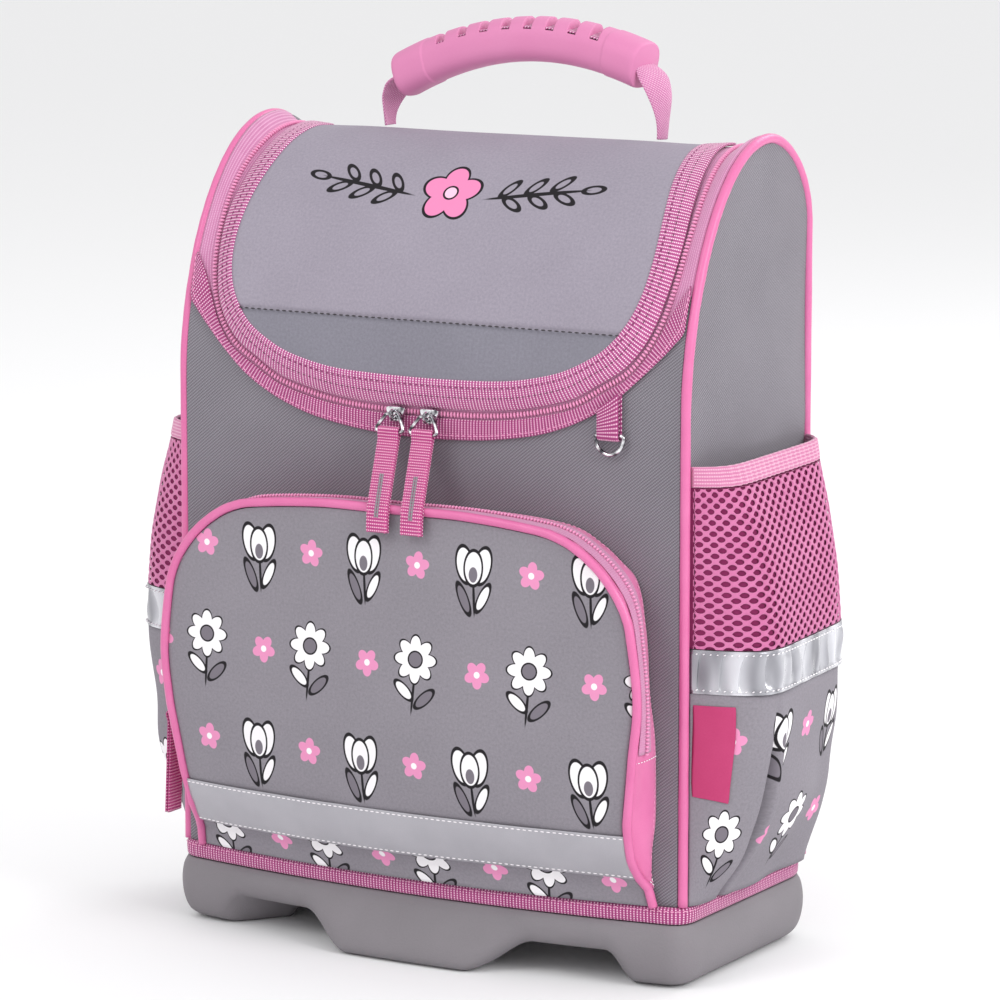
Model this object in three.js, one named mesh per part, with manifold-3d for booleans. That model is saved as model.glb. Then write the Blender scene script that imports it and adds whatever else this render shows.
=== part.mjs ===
// School ransel: a box-shaped school bag with a lid that zips round, a front pocket, net side pockets,
// a moulded base with feet and a moulded carrying handle.
// Millimetres, +Z up, +Y towards the wearer's back. Inside this file z = 0 is the lower edge of the base trim
// and y = 0 is the front panel. At the end the whole bag is moved so that it stands on the origin.
import * as THREE from 'three';
import { mergeVertices } from 'three/addons/utils/BufferGeometryUtils.js';
import Module from 'manifold-3d';

const wasm = await Module();
wasm.setup();

// Body
const BODY_WIDTH = 270;
const BODY_DEPTH = 121;
const BODY_HEIGHT = 349;
const FRONT_RISE = 228; // height at which the front starts to lean back
const BACK_RISE = 305; // height up to which the back is straight
const APEX_SETBACK = 79; // from the front panel to the highest line of the top
const FRONT_BOW = 12; // how far the lower edge of the front stands forward in the middle
const TOP_DIP = 6.5; // how far the top sinks between the two side pipings
const SIDE_BULGE = 3;
const CLOTH = 2;
const SEAM = 0.35; // clearance between sewn or seated pieces
const PIPING_RADIUS = 2.3;
const PIPING_SEAT = 1.6; // depth of the piping's centre under the two faces that it joins
const PANEL_SINK = 1; // the side panel's edge lies this far inside the bag's width

// Lid and opening
const LID_HEIGHT = 237.5; // lowest point of the lid
const LID_PROUD = 6.5; // how far the padded lid stands in front of the body
const LID_PROUD_TOP = 1;
const LID_WALL = 4;
const HINGE_SETBACK = 7; // from the highest line back to where the lid is sewn on
const BINDING_WALL = 1.3;
const TAPE_WALL = 1.2;
const COIL_WIDTH = 2.6;
const COIL_HEIGHT = 1.9;

// Base
const TRIM_HEIGHT = 8;
const TRIM_DROP = 1; // how far the trim reaches below z = 0
const TRIM_PROUD = 1.5;
const TRAY_DEPTH = 30;
const TRAY_WALL = 2.6;
const NOTCH_RISE = 14; // height of the arches between the feet
const NOSE_HALF_WIDTH = 46; // middle foot, at half its slope
const NOSE_SLOPE = 30;
const NOTCH_END = 106; // half slope of the corner feet, from the middle
const NOTCH_SLOPE = 12;
const FRONT_CORNER = 9;
const BACK_CORNER = 18;

// Front pocket
const POCKET_TOP = 182;
const POCKET_HALF_WIDTH = 126;
const POCKET_DEPTH = 28.5;
const POCKET_CROWN = 2.5;
const POCKET_WALL = 1.6;
const GUSSET_WALL = 1.2;
const POCKET_PIPING = 2.1;
const POCKET_ZIP_START = 78; // height at which the pocket's zip ends, on both sides
const POCKET_STRIP_LOW = 21;
const POCKET_STRIP_HEIGHT = 22;
const STRIP_WALL = 0.7;

// Side pockets
const SIDE_POCKET_BULGE = 31;
const SIDE_POCKET_SKEW = 0.15; // how much fuller its front is than its middle
const SIDE_POCKET_WALL = 1.4;
const PRINT_TOP = 105;
const STRIP_TOP = 125;
const MESH_TOP = 198;
const BAND_HEIGHT = 9.3;
const NET_COLUMNS = 6;
const NET_ROWS = 5;
const NET_BAR = 0.3; // share of the net that is bar and not gap, across and up
const LABEL_LOW = 48;
const LABEL_HEIGHT = 51;
const LABEL_WALL = 0.9;
const LABEL_REACH = 0.08; // share of the pocket's depth that the label covers

// Handle
const HANDLE_SETBACK = 10; // behind the highest line of the top
const GRIP_LENGTH = 129;
const GRIP_RISE = 43.5; // middle of the grip above the highest line of the lid
const GRIP_ARCH = 14.6;
const GRIP_DEPTH = 25;
const GRIP_HEIGHT = 21;
const GRIP_SLANT = 0.07; // the grip lies slightly askew, higher at the right
const GRIP_SLOTS = 8;
const SLOT_PITCH = 11.5;
const SLOT_WIDTH = 3;
const SLOT_LENGTH = 15;
const SLOT_DEPTH = 3;
const HANDLE_SPREAD = 74; // the handle's feet, from the middle
const WEBBING_WALL = 2;
const WEBBING_WIDTH = 23;
const WEBBING_FOOT = 8;

// Zip sliders, pulls and the small strap with its ring
const SLIDER_LEFT = -13.5;
const SLIDER_RIGHT = 4.5;
const SLIDER_LENGTH = 10;
const SLIDER_WIDTH = 7;
const SLIDER_HEIGHT = 3;
const LUG_WIDTH = 3.6;
const LUG_RADIUS = 2.7;
const WIRE_RADIUS = 0.8;
const EYE_RADIUS = 1.5;
const RING_TOP = 7;
const RING_FOOT = 15.6;
const RING_DROP = 9;
const PULL_WIDTH = 11.2;
const PULL_WALL = 1;
const PULL_SLIT = 0.4; // between the two layers of a folded pull
const PULL_HANG = 10; // how far the pulls hang below the top of the pocket
const PULL_LEAN = 11; // sideways, from slider to end
const POCKET_PULL_LENGTH = 44;
const LOOP_WIDTH = 11;
const LOOP_PLACE = 97; // small strap on the front, from the middle
const LOOP_LOW = 217;
const D_RING_WIDTH = 14;
const D_RING_DROP = 8.5;

// Back
const PAD_WIDTH = 150;
const PAD_LOW = 28;
const PAD_HEIGHT = 235;
const PAD_WALL = 9;
const SHOULDER_TOP = 300;
const SHOULDER_LOW = 118;
const SHOULDER_WIDTH = 56;
const SHOULDER_TAPER = 10; // how much narrower the lower end is
const SHOULDER_WALL = 8;
const SHOULDER_REACH = 34; // how far the straps arch away from the back
const SHOULDER_SPREAD = 46;
const LOWER_SPREAD = 90;
const ADJUSTER_HEIGHT = 20;
const ADJUSTER_WIDTH = 32;
const ADJUSTER_WALL = 5;
const LOWER_WEBBING = 24;
const LOWER_FOOT = 14; // height at which the lower webbing is sewn on

const HALF_WIDTH = BODY_WIDTH / 2;
const PANEL_INSET = PIPING_SEAT + PIPING_RADIUS + SEAM;
const PANEL_EDGE = HALF_WIDTH - PANEL_INSET;
const BODY_START = TRIM_HEIGHT - TRIM_DROP + SEAM;

const FINISHES = {
  greyTwill: { color: 0x8f8b8f, roughness: 0.9 },
  lilacGrey: { color: 0xa8a1ab, roughness: 0.85 },
  printCloth: { color: 0x958f94, roughness: 0.85 },
  pinkPiping: { color: 0xe8609c, roughness: 0.55 },
  pinkGrosgrain: { color: 0xdd6ba8, roughness: 0.8 },
  rosePink: { color: 0xc94f8c, roughness: 0.8 },
  palePink: { color: 0xf0a3cd, roughness: 0.75 },
  hotPinkNet: { color: 0xe0488f, roughness: 0.8 },
  silverStrip: { color: 0xb9b9bf, roughness: 0.4 },
  warmGreyBase: { color: 0x8b868a, roughness: 0.7 },
  steel: { color: 0xc8c8cc, roughness: 0.2, metalness: 1 },
  gripPink: { color: 0xf07fb4, roughness: 0.5 },
  darkFoam: { color: 0x6d6870, roughness: 0.95 },
};

const finishes = Object.fromEntries(
  Object.entries(FINISHES).map(([name, look]) => [name, new THREE.MeshStandardMaterial(look)]),
);

const bag = new THREE.Group();

function addPiece(name, geometry, finish) {
  const mesh = new THREE.Mesh(geometry, finishes[finish]);
  mesh.name = name;
  bag.add(mesh);
  return mesh;
}

const vector = (x, y, z) => new THREE.Vector3(x, y, z);
const mix = (a, b, share) => a + (b - a) * share;
const limit = (value, low, high) => Math.min(Math.max(value, low), high);

function smooth(value) {
  const share = limit(value, 0, 1);
  return share * share * (3 - 2 * share);
}

// A value read from a table whose first column rises, with straight steps between the rows
function lookUp(rows, place, column) {
  const next = rows.findIndex((row) => row[0] >= place);
  if (next === 0) return rows[0][column];
  if (next < 0) return rows[rows.length - 1][column];
  const [before, after] = [rows[next - 1], rows[next]];
  return mix(before[column], after[column], (place - before[0]) / (after[0] - before[0]));
}

// Corners and triangles made a geometry whose faces point outwards
function toGeometry(positions, faces) {
  const corner = (index) => vector(positions[3 * index], positions[3 * index + 1], positions[3 * index + 2]);
  let volume = 0;
  for (let f = 0; f < faces.length; f += 3) {
    volume += corner(faces[f]).dot(corner(faces[f + 1]).cross(corner(faces[f + 2])));
  }
  const geometry = new THREE.BufferGeometry();
  geometry.setAttribute('position', new THREE.Float32BufferAttribute(positions, 3));
  geometry.setIndex(volume > 0 ? faces : faces.slice().reverse());
  geometry.computeVertexNormals();
  return geometry;
}

// A wall: a grid of points on its outer face, the same grid on its inner face, and a rim round every edge.
// point(u, v, w) gives a corner, with u and v from 0 to 1 over the wall and w from 0 outside to 1 inside.
// A ring closes on itself along u, and with a middle its last row is closed by a fan.
function makeWall(columns, rows, point, { ring = false, middle = null, hole = () => false } = {}) {
  const width = ring ? columns : columns + 1;
  const positions = [];
  for (const w of [0, 1]) {
    for (let j = 0; j <= rows; j += 1) {
      for (let i = 0; i < width; i += 1) positions.push(...point(i / columns, j / rows, w).toArray());
    }
  }
  const id = (i, j, w) => (w * (rows + 1) + j) * width + (i % width);
  const faces = [];
  const addQuad = (a, b, c, d) => faces.push(a, b, c, a, c, d);
  const isCloth = (i, j) => {
    if (j < 0 || j >= rows) return false;
    if (!ring && (i < 0 || i >= columns)) return false;
    return !hole(i, j);
  };
  for (let j = 0; j < rows; j += 1) {
    for (let i = 0; i < columns; i += 1) {
      if (!isCloth(i, j)) continue;
      addQuad(id(i, j, 0), id(i + 1, j, 0), id(i + 1, j + 1, 0), id(i, j + 1, 0));
      addQuad(id(i, j, 1), id(i, j + 1, 1), id(i + 1, j + 1, 1), id(i + 1, j, 1));
      if (!isCloth(i, j - 1)) addQuad(id(i, j, 1), id(i + 1, j, 1), id(i + 1, j, 0), id(i, j, 0));
      if (!isCloth(i, j + 1) && !(middle && j === rows - 1)) {
        addQuad(id(i, j + 1, 0), id(i + 1, j + 1, 0), id(i + 1, j + 1, 1), id(i, j + 1, 1));
      }
      if (!isCloth(i - 1, j)) addQuad(id(i, j, 0), id(i, j + 1, 0), id(i, j + 1, 1), id(i, j, 1));
      if (!isCloth(i + 1, j)) addQuad(id(i + 1, j, 1), id(i + 1, j + 1, 1), id(i + 1, j + 1, 0), id(i + 1, j, 0));
    }
  }
  if (middle) {
    const centre = positions.length / 3;
    positions.push(...middle(0).toArray(), ...middle(1).toArray());
    for (let i = 0; i < columns; i += 1) {
      faces.push(id(i, rows, 0), id(i + 1, rows, 0), centre);
      faces.push(id(i + 1, rows, 1), id(i, rows, 1), centre + 1);
    }
  }
  return toGeometry(positions, faces);
}

// A flat band swept along a line: at(v) gives its middle, the directions across and out, its width and thickness
function makeBand(steps, at) {
  return makeWall(1, steps, (u, v, w) => {
    const { middle, across, out, width, wall } = at(v);
    return middle.clone().addScaledVector(across, (u - 0.5) * width).addScaledVector(out, (0.5 - w) * wall);
  });
}

// A solid through rings of points, closed at both ends by fans, or joined end to end
function makeLoft(rings, { joined = false } = {}) {
  const size = rings[0].length;
  const positions = rings.flatMap((ring) => ring.flatMap((place) => place.toArray()));
  const id = (i, j) => (i % rings.length) * size + (j % size);
  const faces = [];
  for (let i = 0; i < rings.length - (joined ? 0 : 1); i += 1) {
    for (let j = 0; j < size; j += 1) {
      faces.push(id(i, j), id(i + 1, j), id(i + 1, j + 1), id(i, j), id(i + 1, j + 1), id(i, j + 1));
    }
  }
  if (!joined) {
    for (const end of [0, rings.length - 1]) {
      const centre = positions.length / 3;
      const middle = rings[end].reduce((sum, place) => sum.add(place), vector(0, 0, 0)).divideScalar(size);
      positions.push(...middle.toArray());
      for (let j = 0; j < size; j += 1) {
        if (end === 0) faces.push(id(end, j), id(end, j + 1), centre);
        else faces.push(id(end, j + 1), id(end, j), centre);
      }
    }
  }
  return toGeometry(positions, faces);
}

// A closed ring of wire round line(share), whose loop lies across the direction side
function makeWire(steps, sides, radius, line, side) {
  const step = 1e-3;
  const rings = [];
  for (let i = 0; i < steps; i += 1) {
    const u = i / steps;
    const heading = line((u + step) % 1).sub(line((u - step + 1) % 1)).normalize();
    const out = heading.clone().cross(side).normalize();
    const ring = [];
    for (let j = 0; j < sides; j += 1) {
      const angle = (2 * Math.PI * (j + 0.5)) / sides;
      const place = line(u).addScaledVector(side, radius * Math.cos(angle));
      ring.push(place.addScaledVector(out, radius * Math.sin(angle)));
    }
    rings.push(ring);
  }
  return makeLoft(rings, { joined: true });
}

// A tube through places in a row, which lie roughly in the plane across the direction side
function makeTube(places, radius, sides, side) {
  const rings = places.map((place, k) => {
    const before = places[Math.max(k - 1, 0)];
    const after = places[Math.min(k + 1, places.length - 1)];
    const heading = after.clone().sub(before).normalize();
    const out = heading.clone().cross(side).normalize();
    const flat = out.clone().cross(heading).normalize();
    return Array.from({ length: sides }, (_, j) => {
      const angle = (2 * Math.PI * (j + 0.5)) / sides;
      const corner = place.clone().addScaledVector(flat, radius * Math.cos(angle));
      return corner.addScaledVector(out, radius * Math.sin(angle));
    });
  });
  return makeLoft(rings);
}

function mergeBare(geometry) {
  const bare = geometry.clone();
  bare.deleteAttribute('normal');
  bare.deleteAttribute('uv');
  const merged = mergeVertices(bare, 1e-4);
  return toGeometry([...merged.attributes.position.array], [...merged.index.array]);
}

function toSolid(geometry) {
  const merged = mergeBare(geometry);
  return new wasm.Manifold(new wasm.Mesh({
    numProp: 3,
    vertProperties: new Float32Array(merged.attributes.position.array),
    triVerts: new Uint32Array(merged.index.array),
  }));
}

function fromSolid(solid) {
  const mesh = solid.getMesh();
  return toGeometry([...mesh.vertProperties], [...mesh.triVerts]);
}

// A shape drawn in the plane of y and z, made solid along x round a middle
function extrudeAlongX(shape, width, middle, curveSegments = 8) {
  const geometry = new THREE.ExtrudeGeometry(shape, { depth: width, bevelEnabled: false, curveSegments });
  const turn = new THREE.Matrix4().makeBasis(vector(0, 1, 0), vector(0, 0, 1), vector(1, 0, 0));
  geometry.applyMatrix4(turn);
  geometry.translate(middle - width / 2, 0, 0);
  return mergeBare(geometry);
}

// The side outline of the bag, from the bottom of the front over the top to the bottom of the back.
// Its x is the bag's y and its y is the bag's z. The curves' handles are shares of the spans that they shape.
const outline = new THREE.Path();
outline.moveTo(0, 0);
outline.lineTo(0, FRONT_RISE);
outline.bezierCurveTo(
  0, mix(FRONT_RISE, BODY_HEIGHT, 0.446),
  0.405 * APEX_SETBACK, BODY_HEIGHT,
  APEX_SETBACK, BODY_HEIGHT,
);
outline.bezierCurveTo(
  mix(APEX_SETBACK, BODY_DEPTH, 0.452), BODY_HEIGHT,
  BODY_DEPTH, mix(BACK_RISE, BODY_HEIGHT, 0.568),
  BODY_DEPTH, BACK_RISE,
);
outline.lineTo(BODY_DEPTH, 0);
const [toBend, toApex, toBack, toEnd] = outline.getCurveLengths();

function onOutline(s, rise) {
  const share = limit(s, 0, toEnd) / toEnd;
  const place = outline.getPoint(share);
  const heading = outline.getTangent(share);
  return { y: place.x - heading.y * rise, z: place.y + heading.x * rise };
}

// How far the front stands forward, from the whole bow at its lower edge to none at the top of the pocket
function frontBow(x, z) {
  return FRONT_BOW * (1 - (x / HALF_WIDTH) ** 2) * (1 - smooth(z / POCKET_TOP));
}

// The top sinks between the pipings, from nothing at the front panel to the whole dip at the highest line
function topDip(x, s) {
  const along = s < toApex ? (s - toBend) / (toApex - toBend) : (toBack - s) / (toBack - toApex);
  const across = 1 - smooth((Math.abs(x) / PANEL_EDGE - 0.9) / 0.1);
  return TOP_DIP * smooth(along) * across;
}

// A point on the body's wrapped face: x across, s along the side outline, rise out of the face
function onWrap(x, s, rise) {
  const { y, z } = onOutline(s, rise - topDip(x, s));
  const bow = s < toBend ? frontBow(x, s) : 0;
  return vector(x, y - bow, z);
}

// Lines round the opening, for one half of the bag. Each row is a station, from the middle of the front, round the
// corner and up to the hinge. Across is a share of the panel's half width, and up a share of the way from the lid's
// lowest point to the highest line. Columns, across and up of each: lid, lid binding, coil, panel, and the inner and
// the outer edge of the opening's binding, which ends at the piping.
const OPENING_LINES = [
  [0.000, 0.000, 0.000, -0.085, 0.000, -0.102, 0.000, -0.149, 0.000, -0.114, 0.000, -0.181],
  [0.207, 0.003, 0.207, -0.081, 0.207, -0.098, 0.207, -0.142, 0.207, -0.111, 0.207, -0.174],
  [0.344, 0.010, 0.348, -0.071, 0.348, -0.087, 0.350, -0.129, 0.350, -0.100, 0.352, -0.158],
  [0.459, 0.026, 0.470, -0.051, 0.474, -0.066, 0.482, -0.107, 0.477, -0.080, 0.486, -0.133],
  [0.566, 0.051, 0.593, -0.020, 0.599, -0.035, 0.613, -0.067, 0.604, -0.047, 0.623, -0.087],
  [0.658, 0.089, 0.692, 0.028, 0.701, 0.016, 0.724, -0.012, 0.711, 0.005, 0.738, -0.028],
  [0.727, 0.130, 0.780, 0.077, 0.792, 0.066, 0.817, 0.047, 0.804, 0.056, 0.830, 0.041],
  [0.780, 0.183, 0.844, 0.142, 0.857, 0.134, 0.887, 0.117, 0.870, 0.128, 0.906, 0.106],
  [0.818, 0.242, 0.883, 0.215, 0.898, 0.209, 0.938, 0.186, 0.915, 0.208, 0.964, 0.161],
  [0.841, 0.311, 0.905, 0.294, 0.922, 0.289, 0.979, 0.242, 0.952, 0.278, 0.999, 0.208],
  [0.851, 0.391, 0.919, 0.384, 0.935, 0.381, 1.000, 0.315, 0.997, 0.343, 1.000, 0.315],
  [0.849, 0.474, 0.924, 0.474, 0.940, 0.474, 1.000, 0.460],
  [0.837, 0.571, 0.916, 0.571, 0.941, 0.571, 1.000, 0.571],
  [0.818, 0.682, 0.902, 0.682, 0.935, 0.682, 1.000, 0.682],
  [0.803, 0.792, 0.887, 0.792, 0.925, 0.792, 1.000, 0.792],
  [0.792, 0.903, 0.874, 0.903, 0.918, 0.903, 1.000, 0.903],
  [0.788, 1.000, 0.868, 1.000, 0.910, 1.000, 1.000, 1.000],
];
const STATIONS = OPENING_LINES.length - 1;
const hinge = toApex + HINGE_SETBACK;

// A line of the table as a curve across the whole bag, whose x is across and whose y is along the side outline
function openingLine(column) {
  const half = OPENING_LINES.filter((row) => row.length > column).map((row, k) => ({
    across: row[column] * PANEL_EDGE,
    along: mix(LID_HEIGHT, k === STATIONS ? hinge : toApex, row[column + 1]),
  }));
  const left = half.slice(1).reverse().map(({ across, along }) => vector(-across, along, 0));
  const right = half.map(({ across, along }) => vector(across, along, 0));
  const curve = new THREE.CatmullRomCurve3([...left, ...right], false, 'catmullrom', 0.5);
  return { curve, reach: half.length - 1 };
}

const openingLines = {
  lid: openingLine(0),
  binding: openingLine(2),
  coil: openingLine(4),
  panel: openingLine(6),
  inner: openingLine(8),
  outer: openingLine(10),
};

// Where a line passes a station, below 0 on the left half of the bag
function onLine(name, station) {
  const { curve, reach } = openingLines[name];
  const place = curve.getPoint(limit((station + reach) / (2 * reach), 0, 1));
  return { x: limit(place.x, -PANEL_EDGE, PANEL_EDGE), s: Math.min(place.y, hinge) };
}

function between(from, to, share) {
  return { x: mix(from.x, to.x, share), s: mix(from.s, to.s, share) };
}

// The lid's height above the wrapped face, from proud at the front to nearly flush at the highest line
function lidRise(s) {
  return mix(LID_PROUD, LID_PROUD_TOP, limit((s - LID_HEIGHT) / (toApex - LID_HEIGHT), 0, 1) ** 3);
}

function makeFrontPanel() {
  const { reach } = openingLines.outer;
  return makeWall(2 * reach, 6, (u, v, w) => {
    const { x, s } = onLine('panel', mix(-reach, reach, u));
    return onWrap(x, mix(BODY_START, s, 1 - (1 - v) ** 1.8), -w * CLOTH);
  });
}

function makeLid() {
  return makeWall(6, STATIONS - 1, (u, v, w) => {
    const { x, s } = onLine('lid', mix(1, STATIONS, v));
    return onWrap((2 * u - 1) * x, s, lidRise(s) - w * LID_WALL);
  });
}

function makeLidBinding() {
  return makeWall(2 * STATIONS, 2, (u, v, w) => {
    const station = mix(-STATIONS, STATIONS, u);
    const lid = onLine('lid', station);
    const edge = onLine('binding', station);
    const gap = SEAM / Math.hypot(edge.x - lid.x, edge.s - lid.s);
    const { x, s } = between(lid, edge, mix(gap, 1, v));
    const rise = mix(lidRise(lid.s), 2 * SEAM + BINDING_WALL, v ** 1.6);
    return onWrap(x, s, rise - w * BINDING_WALL);
  });
}

// A place beside the coil's line: across it by a distance, towards the lid
function besideCoil(station, distance) {
  const coil = onLine('coil', station);
  const lid = onLine('lid', station);
  return between(coil, lid, distance / Math.hypot(lid.x - coil.x, lid.s - coil.s));
}

// The tape's rows are its inner edge, the two sides of the coil and its outer edge
function makeZipTape() {
  return makeWall(2 * STATIONS, 3, (u, v, w) => {
    const station = mix(-STATIONS, STATIONS, u);
    const coil = onLine('coil', station);
    const { x, s } = [
      between(coil, onLine('lid', station), 0.3),
      besideCoil(station, COIL_WIDTH / 2),
      besideCoil(station, -COIL_WIDTH / 2),
      between(onLine('panel', station), coil, 0.09),
    ][Math.round(3 * v)];
    return onWrap(x, s, -w * TAPE_WALL);
  });
}

function makeZipCoil() {
  return makeWall(2 * STATIONS, 1, (u, v, w) => {
    const { x, s } = besideCoil(mix(-STATIONS, STATIONS, u), COIL_WIDTH * (0.5 - v));
    return onWrap(x, s, SEAM + (1 - w) * COIL_HEIGHT);
  });
}

function makeOpeningBinding() {
  const { reach } = openingLines.outer;
  return makeWall(2 * reach, 1, (u, v, w) => {
    const station = mix(-reach, reach, u);
    const { x, s } = between(onLine('inner', station), onLine('outer', station), v);
    return onWrap(x, s, 2 * SEAM + (1 - w) * BINDING_WALL);
  });
}

// The front and the back of the side outline at a height, moved in by an inset
function outlineSpan(z, inset) {
  const places = [];
  for (let k = 0; k <= 240; k += 1) places.push(onOutline((k / 240) * toEnd, -inset));
  const crossings = [];
  for (let k = 0; k < 240; k += 1) {
    const [a, b] = [places[k], places[k + 1]];
    if ((a.z - z) * (b.z - z) < 0) crossings.push(mix(a.y, b.y, (z - a.z) / (b.z - a.z)));
  }
  return [crossings[0], crossings[crossings.length - 1]];
}

function sideBulge(t, z) {
  return SIDE_BULGE * (1 - (2 * t - 1) ** 2) * Math.sin(Math.PI * limit(z / BODY_HEIGHT, 0, 1));
}

function makeSidePanel(side) {
  const inset = PANEL_INSET + 0.7;
  const top = BODY_HEIGHT - inset - 0.5;
  const rows = 8;
  const spans = Array.from({ length: rows + 1 }, (_, j) => {
    const z = mix(BODY_START, top, 1 - (1 - j / rows) ** 1.9);
    return { z, span: outlineSpan(z, inset) };
  });
  return makeWall(4, rows, (u, v, w) => {
    const { z, span } = spans[Math.round(v * rows)];
    const x = HALF_WIDTH - PANEL_SINK + sideBulge(u, z) - w * CLOTH;
    return vector(side * x, mix(span[0], span[1], u), z);
  });
}

function makePiping(side) {
  const bends = Array.from({ length: 17 }, (_, k) => mix(toBend - 4, toBack + 4, k / 16));
  const places = [BODY_START, ...bends, toEnd - BODY_START].map((s) => {
    const { y, z } = onOutline(s, -PIPING_SEAT);
    return vector(side * (HALF_WIDTH - PIPING_SEAT), y, z);
  });
  return makeTube(places, PIPING_RADIUS, 6, vector(1, 0, 0));
}

function makeBackPanel() {
  const across = [-1, -0.9, -0.45, 0, 0.45, 0.9, 1];
  return makeWall(across.length - 1, 9, (u, v, w) => {
    const x = across[Math.round(u * (across.length - 1))] * PANEL_EDGE;
    return onWrap(x, mix(hinge + 1.3 * SEAM, toEnd - BODY_START, v ** 1.8), -w * CLOTH);
  });
}

// The plan of the body's lower edge, seen from above: a bowed front, small front corners and round back corners
function basePlan() {
  const flat = HALF_WIDTH - FRONT_CORNER * 0.9;
  const atCorner = -FRONT_BOW * (1 - (flat / HALF_WIDTH) ** 2);
  const back = BODY_DEPTH - BACK_CORNER;
  const corner = HALF_WIDTH - BACK_CORNER;
  const point = (x, y) => new THREE.Vector2(x, y);
  const bend = (a, b, c) => new THREE.QuadraticBezierCurve(point(...a), point(...b), point(...c));
  const runs = [
    [bend([-flat, atCorner], [0, -2 * FRONT_BOW - atCorner], [flat, atCorner]), 18],
    [bend([flat, atCorner], [HALF_WIDTH, 0], [HALF_WIDTH, FRONT_CORNER]), 3],
    [new THREE.LineCurve(point(HALF_WIDTH, FRONT_CORNER), point(HALF_WIDTH, back)), 2],
    [bend([HALF_WIDTH, back], [HALF_WIDTH, BODY_DEPTH], [corner, BODY_DEPTH]), 3],
    [new THREE.LineCurve(point(corner, BODY_DEPTH), point(-corner, BODY_DEPTH)), 6],
    [bend([-corner, BODY_DEPTH], [-HALF_WIDTH, BODY_DEPTH], [-HALF_WIDTH, back]), 3],
    [new THREE.LineCurve(point(-HALF_WIDTH, back), point(-HALF_WIDTH, FRONT_CORNER)), 2],
    [bend([-HALF_WIDTH, FRONT_CORNER], [-HALF_WIDTH, 0], [-flat, atCorner]), 3],
  ];
  const places = runs.flatMap(([curve, steps]) => curve.getPoints(steps).slice(0, -1));
  return places.map((place, k) => {
    const before = places[(k + places.length - 1) % places.length];
    const after = places[(k + 1) % places.length];
    const heading = after.clone().sub(before).normalize();
    return { x: place.x, y: place.y, outX: heading.y, outY: -heading.x };
  });
}

const plan = basePlan();

// A place beside the plan: outwards along its own direction, inwards by shrinking the whole plan
function onPlan(share, out, z) {
  const { x, y, outX, outY } = plan[Math.round(share * plan.length) % plan.length];
  if (out >= 0) return vector(x + out * outX, y + out * outY, z);
  const middle = BODY_DEPTH / 2;
  return vector(x * (1 + out / HALF_WIDTH), middle + (y - middle) * (1 + out / middle), z);
}

function makeBaseTrim() {
  return makeWall(plan.length, 1, (u, v, w) => {
    const out = TRIM_PROUD - w * (TRIM_PROUD + CLOTH);
    return onPlan(u, out, mix(-TRIM_DROP, TRIM_HEIGHT - TRIM_DROP, v));
  }, { ring: true });
}

// The base's section, from its rim down the wall, under the foot and up to the hollow between the feet.
// Columns: drop as a share of the local depth; how far out of the plan, and at the middle foot; the wall's own
// direction, out and up.
const TRAY_SECTION = [
  [0, 1.5, 1.5, 1, 0],
  [0.2, 4.0, 5.5, 1, 0.1],
  [0.55, 3.2, 11.0, 1, 0.3],
  [0.86, 0.5, 14.0, 0.9, 0.5],
  [1, -4.5, 10.0, 0.5, 1],
  [1, -26.0, -12.0, -0.5, 1],
  [0.5, -33.0, -22.0, -0.3, 1],
];

function makeBaseTray() {
  const top = -TRIM_DROP - SEAM;
  const rows = TRAY_SECTION.length - 1;
  const ceiling = top - TRAY_DEPTH * TRAY_SECTION[rows][0];
  const point = (u, v, w) => {
    const place = onPlan(u, 0, 0);
    const middle = Math.abs(place.x);
    const isFront = place.y < 0;
    const nose = isFront ? 1 - smooth((middle - NOSE_HALF_WIDTH + NOSE_SLOPE / 2) / NOSE_SLOPE) : 0;
    const corner = smooth((middle - NOTCH_END + NOTCH_SLOPE / 2) / NOTCH_SLOPE);
    const foot = Math.max(nose, corner);
    const [drop, out, outAtNose, wallOut, wallUp] = TRAY_SECTION[Math.round(v * rows)];
    const depth = TRAY_DEPTH - NOTCH_RISE * (1 - foot);
    const z = v === 1 ? ceiling : top - drop * depth;
    const reach = mix(out, outAtNose, nose) - w * TRAY_WALL * wallOut;
    return onPlan(u, reach, z + w * TRAY_WALL * wallUp);
  };
  const middle = (w) => vector(0, BODY_DEPTH / 2, ceiling + w * TRAY_WALL);
  return makeWall(plan.length, rows, point, { ring: true, middle });
}

// The front pocket's rim. Columns: height of the front edge as a share of the pocket's top; half width; depth;
// and the half width and height of the seam on the panel behind it.
const POCKET_RIM = [
  [0.0404, 0.966, 0.085, 0.964, 0.0404],
  [0.088, 0.957, 0.170, 0.957, 0.088],
  [0.121, 0.942, 0.340, 0.952, 0.121],
  [0.170, 0.937, 0.565, 0.955, 0.170],
  [0.264, 0.944, 0.772, 0.965, 0.264],
  [0.440, 0.980, 0.947, 0.962, 0.440],
  [0.577, 1.000, 0.982, 0.935, 0.577],
  [0.731, 0.976, 1.000, 0.915, 0.731],
  [0.794, 0.952, 1.000, 0.901, 0.805],
  [0.843, 0.913, 1.000, 0.877, 0.852],
  [0.893, 0.853, 1.000, 0.821, 0.893],
  [0.937, 0.774, 1.000, 0.742, 0.934],
  [0.967, 0.690, 1.000, 0.659, 0.964],
  [0.984, 0.579, 1.000, 0.556, 0.978],
  [1.000, 0.300, 1.000, 0.290, 0.989],
];

function pocketDepth(x, share) {
  const z = share * POCKET_TOP;
  const crown = POCKET_CROWN * (1 - (x / POCKET_HALF_WIDTH) ** 2);
  return lookUp(POCKET_RIM, share, 2) * POCKET_DEPTH + frontBow(x, z) + crown;
}

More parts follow.
